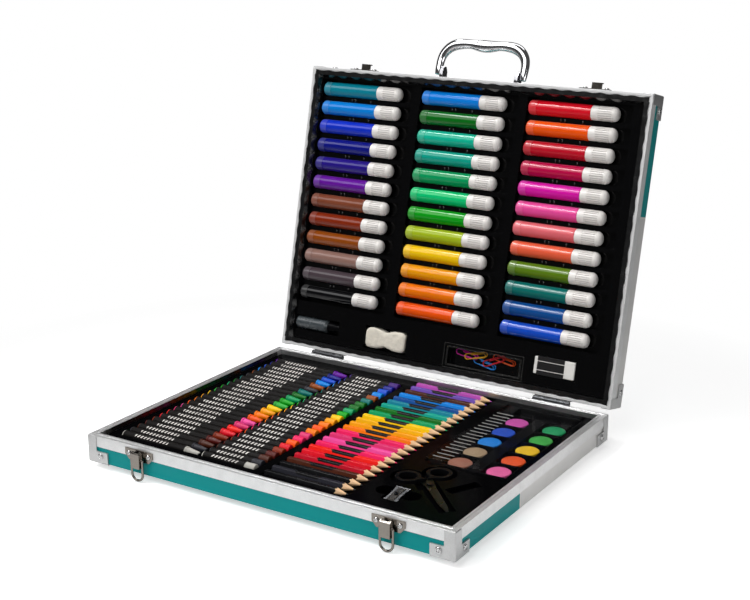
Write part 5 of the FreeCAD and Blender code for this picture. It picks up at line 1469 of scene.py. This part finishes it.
class ARTCASE_OT_stage(bpy.types.Operator):
    """Sets the floor, the soft lights and the camera"""
    bl_idname = "artcase.stage"
    bl_label = "Stage"

    def execute(self, context):
        self.floor()
        self.world(context.scene)
        for lamp in LAMPS:
            self.lamp(*lamp)
        self.camera(context.scene)
        context.scene.view_settings.view_transform = "Standard"
        return {"FINISHED"}

    def floor(self):
        """A pale floor that the camera sees fade to white away from the case."""
        fade_start, fade_end, lift = 0.25, 0.6, 0.55
        nothing()
        bpy.ops.mesh.primitive_plane_add(size=40)
        floor = added("floor")
        pale = Finish("pale floor", (0.9, 0.9, 0.9), 0.9, Specular_IOR_Level=0.0)
        plain_floor = pale.shader.outputs[0]
        seen = pale.add("ShaderNodeLightPath").outputs["Is Camera Ray"]
        glow = pale.add("ShaderNodeEmission", {0: (1, 1, 1, 1), 1: lift}).outputs[0]
        white = pale.add("ShaderNodeEmission", {0: (1, 1, 1, 1), 1: 1.0}).outputs[0]
        lifted = pale.add("ShaderNodeAddShader", {0: plain_floor, 1: glow}).outputs[0]
        away = pale.add("ShaderNodeVectorMath", {0: pale.place()}, operation="LENGTH").outputs["Value"]
        far = pale.between(away, 0.0, 1.0, fade_start, fade_end)
        backdrop = pale.add("ShaderNodeMixShader", {0: far, 1: lifted, 2: white}).outputs[0]
        pale.overlay(far, (0.25, 0.25, 0.25))
        mixed = pale.add("ShaderNodeMixShader", {0: seen, 1: plain_floor, 2: backdrop}).outputs[0]
        pale.tree.links.new(mixed, pale.tree.nodes["Material Output"].inputs["Surface"])
        floor.data.materials.append(pale.material)

    def world(self, scene):
        """White where the camera looks, dim as a light."""
        world = bpy.data.worlds.new("studio")
        scene.world = world
        world.use_nodes = True
        tree = world.node_tree
        background = tree.nodes["Background"]
        background.inputs["Color"].default_value = (1, 1, 1, 1)
        path = add_node(tree, "ShaderNodeLightPath").outputs
        seen = add_node(tree, "ShaderNodeMath", {0: path["Is Camera Ray"], 1: path["Is Transmission Ray"]},
                        operation="MAXIMUM").outputs[0]
        strength = add_node(tree, "ShaderNodeMapRange", {"Value": seen, "To Min": 0.08, "To Max": 1.0})
        tree.links.new(strength.outputs[0], background.inputs["Strength"])

    def lamp(self, name, place, aim, size, power):
        bpy.ops.object.light_add(type="AREA", location=place)
        lamp = bpy.context.object
        lamp.name = name
        lamp.data.shape = "RECTANGLE"
        lamp.data.size, lamp.data.size_y = size
        lamp.data.energy = power
        lamp.rotation_euler = (Vector(place) - Vector(aim)).to_track_quat("Z", "Y").to_euler()

    def camera(self, scene):
        level = math.cos(CAMERA_ABOVE)
        back = Vector((math.sin(CAMERA_AROUND) * level, -math.cos(CAMERA_AROUND) * level, math.sin(CAMERA_ABOVE)))
        right = Vector((math.cos(CAMERA_AROUND), math.sin(CAMERA_AROUND), 0))
        up = back.cross(right)
        bpy.ops.object.camera_add()
        camera = bpy.context.object
        camera.data.sensor_width = 36
        camera.data.lens = LENS
        camera.data.clip_start = 0.01
        turned = Matrix((right, up, back)).transposed().to_4x4() @ Matrix.Rotation(CAMERA_ROLL, 4, "Z")
        camera.matrix_world = Matrix.Translation(CAMERA_PLACE) @ turned
        scene.camera = camera


class ARTCASE_PT_sidebar(bpy.types.Panel):
    """Lists the operators in the order they are run"""
    bl_idname = "ARTCASE_PT_sidebar"
    bl_label = "Art case"
    bl_space_type = "VIEW_3D"
    bl_region_type = "UI"
    bl_category = "Art case"

    def draw(self, context):
        for operator in OPERATORS:
            self.layout.operator(operator.bl_idname)


OPERATORS = (ARTCASE_OT_boards, ARTCASE_OT_rims, ARTCASE_OT_corner_caps, ARTCASE_OT_rivets, ARTCASE_OT_feet,
             ARTCASE_OT_hinges, ARTCASE_OT_latches, ARTCASE_OT_handle, ARTCASE_OT_trays, ARTCASE_OT_markers,
             ARTCASE_OT_sticks, ARTCASE_OT_pencils, ARTCASE_OT_paint_box, ARTCASE_OT_scissors,
             ARTCASE_OT_sharpener, ARTCASE_OT_glue, ARTCASE_OT_sponge, ARTCASE_OT_clips, ARTCASE_OT_eraser,
             ARTCASE_OT_stage)
CLASSES = (CaseColours, CaseSizes, *OPERATORS, ARTCASE_PT_sidebar)


def register():
    for case_class in CLASSES:
        bpy.utils.register_class(case_class)
    bpy.types.Scene.art_case_colours = bpy.props.PointerProperty(type=CaseColours)
    bpy.types.Scene.art_case_sizes = bpy.props.PointerProperty(type=CaseSizes)


def unregister():
    del bpy.types.Scene.art_case_sizes
    del bpy.types.Scene.art_case_colours
    for case_class in reversed(CLASSES):
        bpy.utils.unregister_class(case_class)


def main():
    register()
    bpy.ops.artcase.boards()
    bpy.ops.artcase.rims()
    bpy.ops.artcase.corner_caps()
    bpy.ops.artcase.rivets()
    bpy.ops.artcase.feet()
    bpy.ops.artcase.hinges()
    bpy.ops.artcase.latches()
    bpy.ops.artcase.handle()
    bpy.ops.artcase.trays()
    bpy.ops.artcase.markers()
    bpy.ops.artcase.sticks()
    bpy.ops.artcase.pencils()
    bpy.ops.artcase.paint_box()
    bpy.ops.artcase.scissors()
    bpy.ops.artcase.sharpener()
    bpy.ops.artcase.glue()
    bpy.ops.artcase.sponge()
    bpy.ops.artcase.clips()
    bpy.ops.artcase.eraser()
    bpy.ops.artcase.stage()


if __name__ == "__main__":
    main()
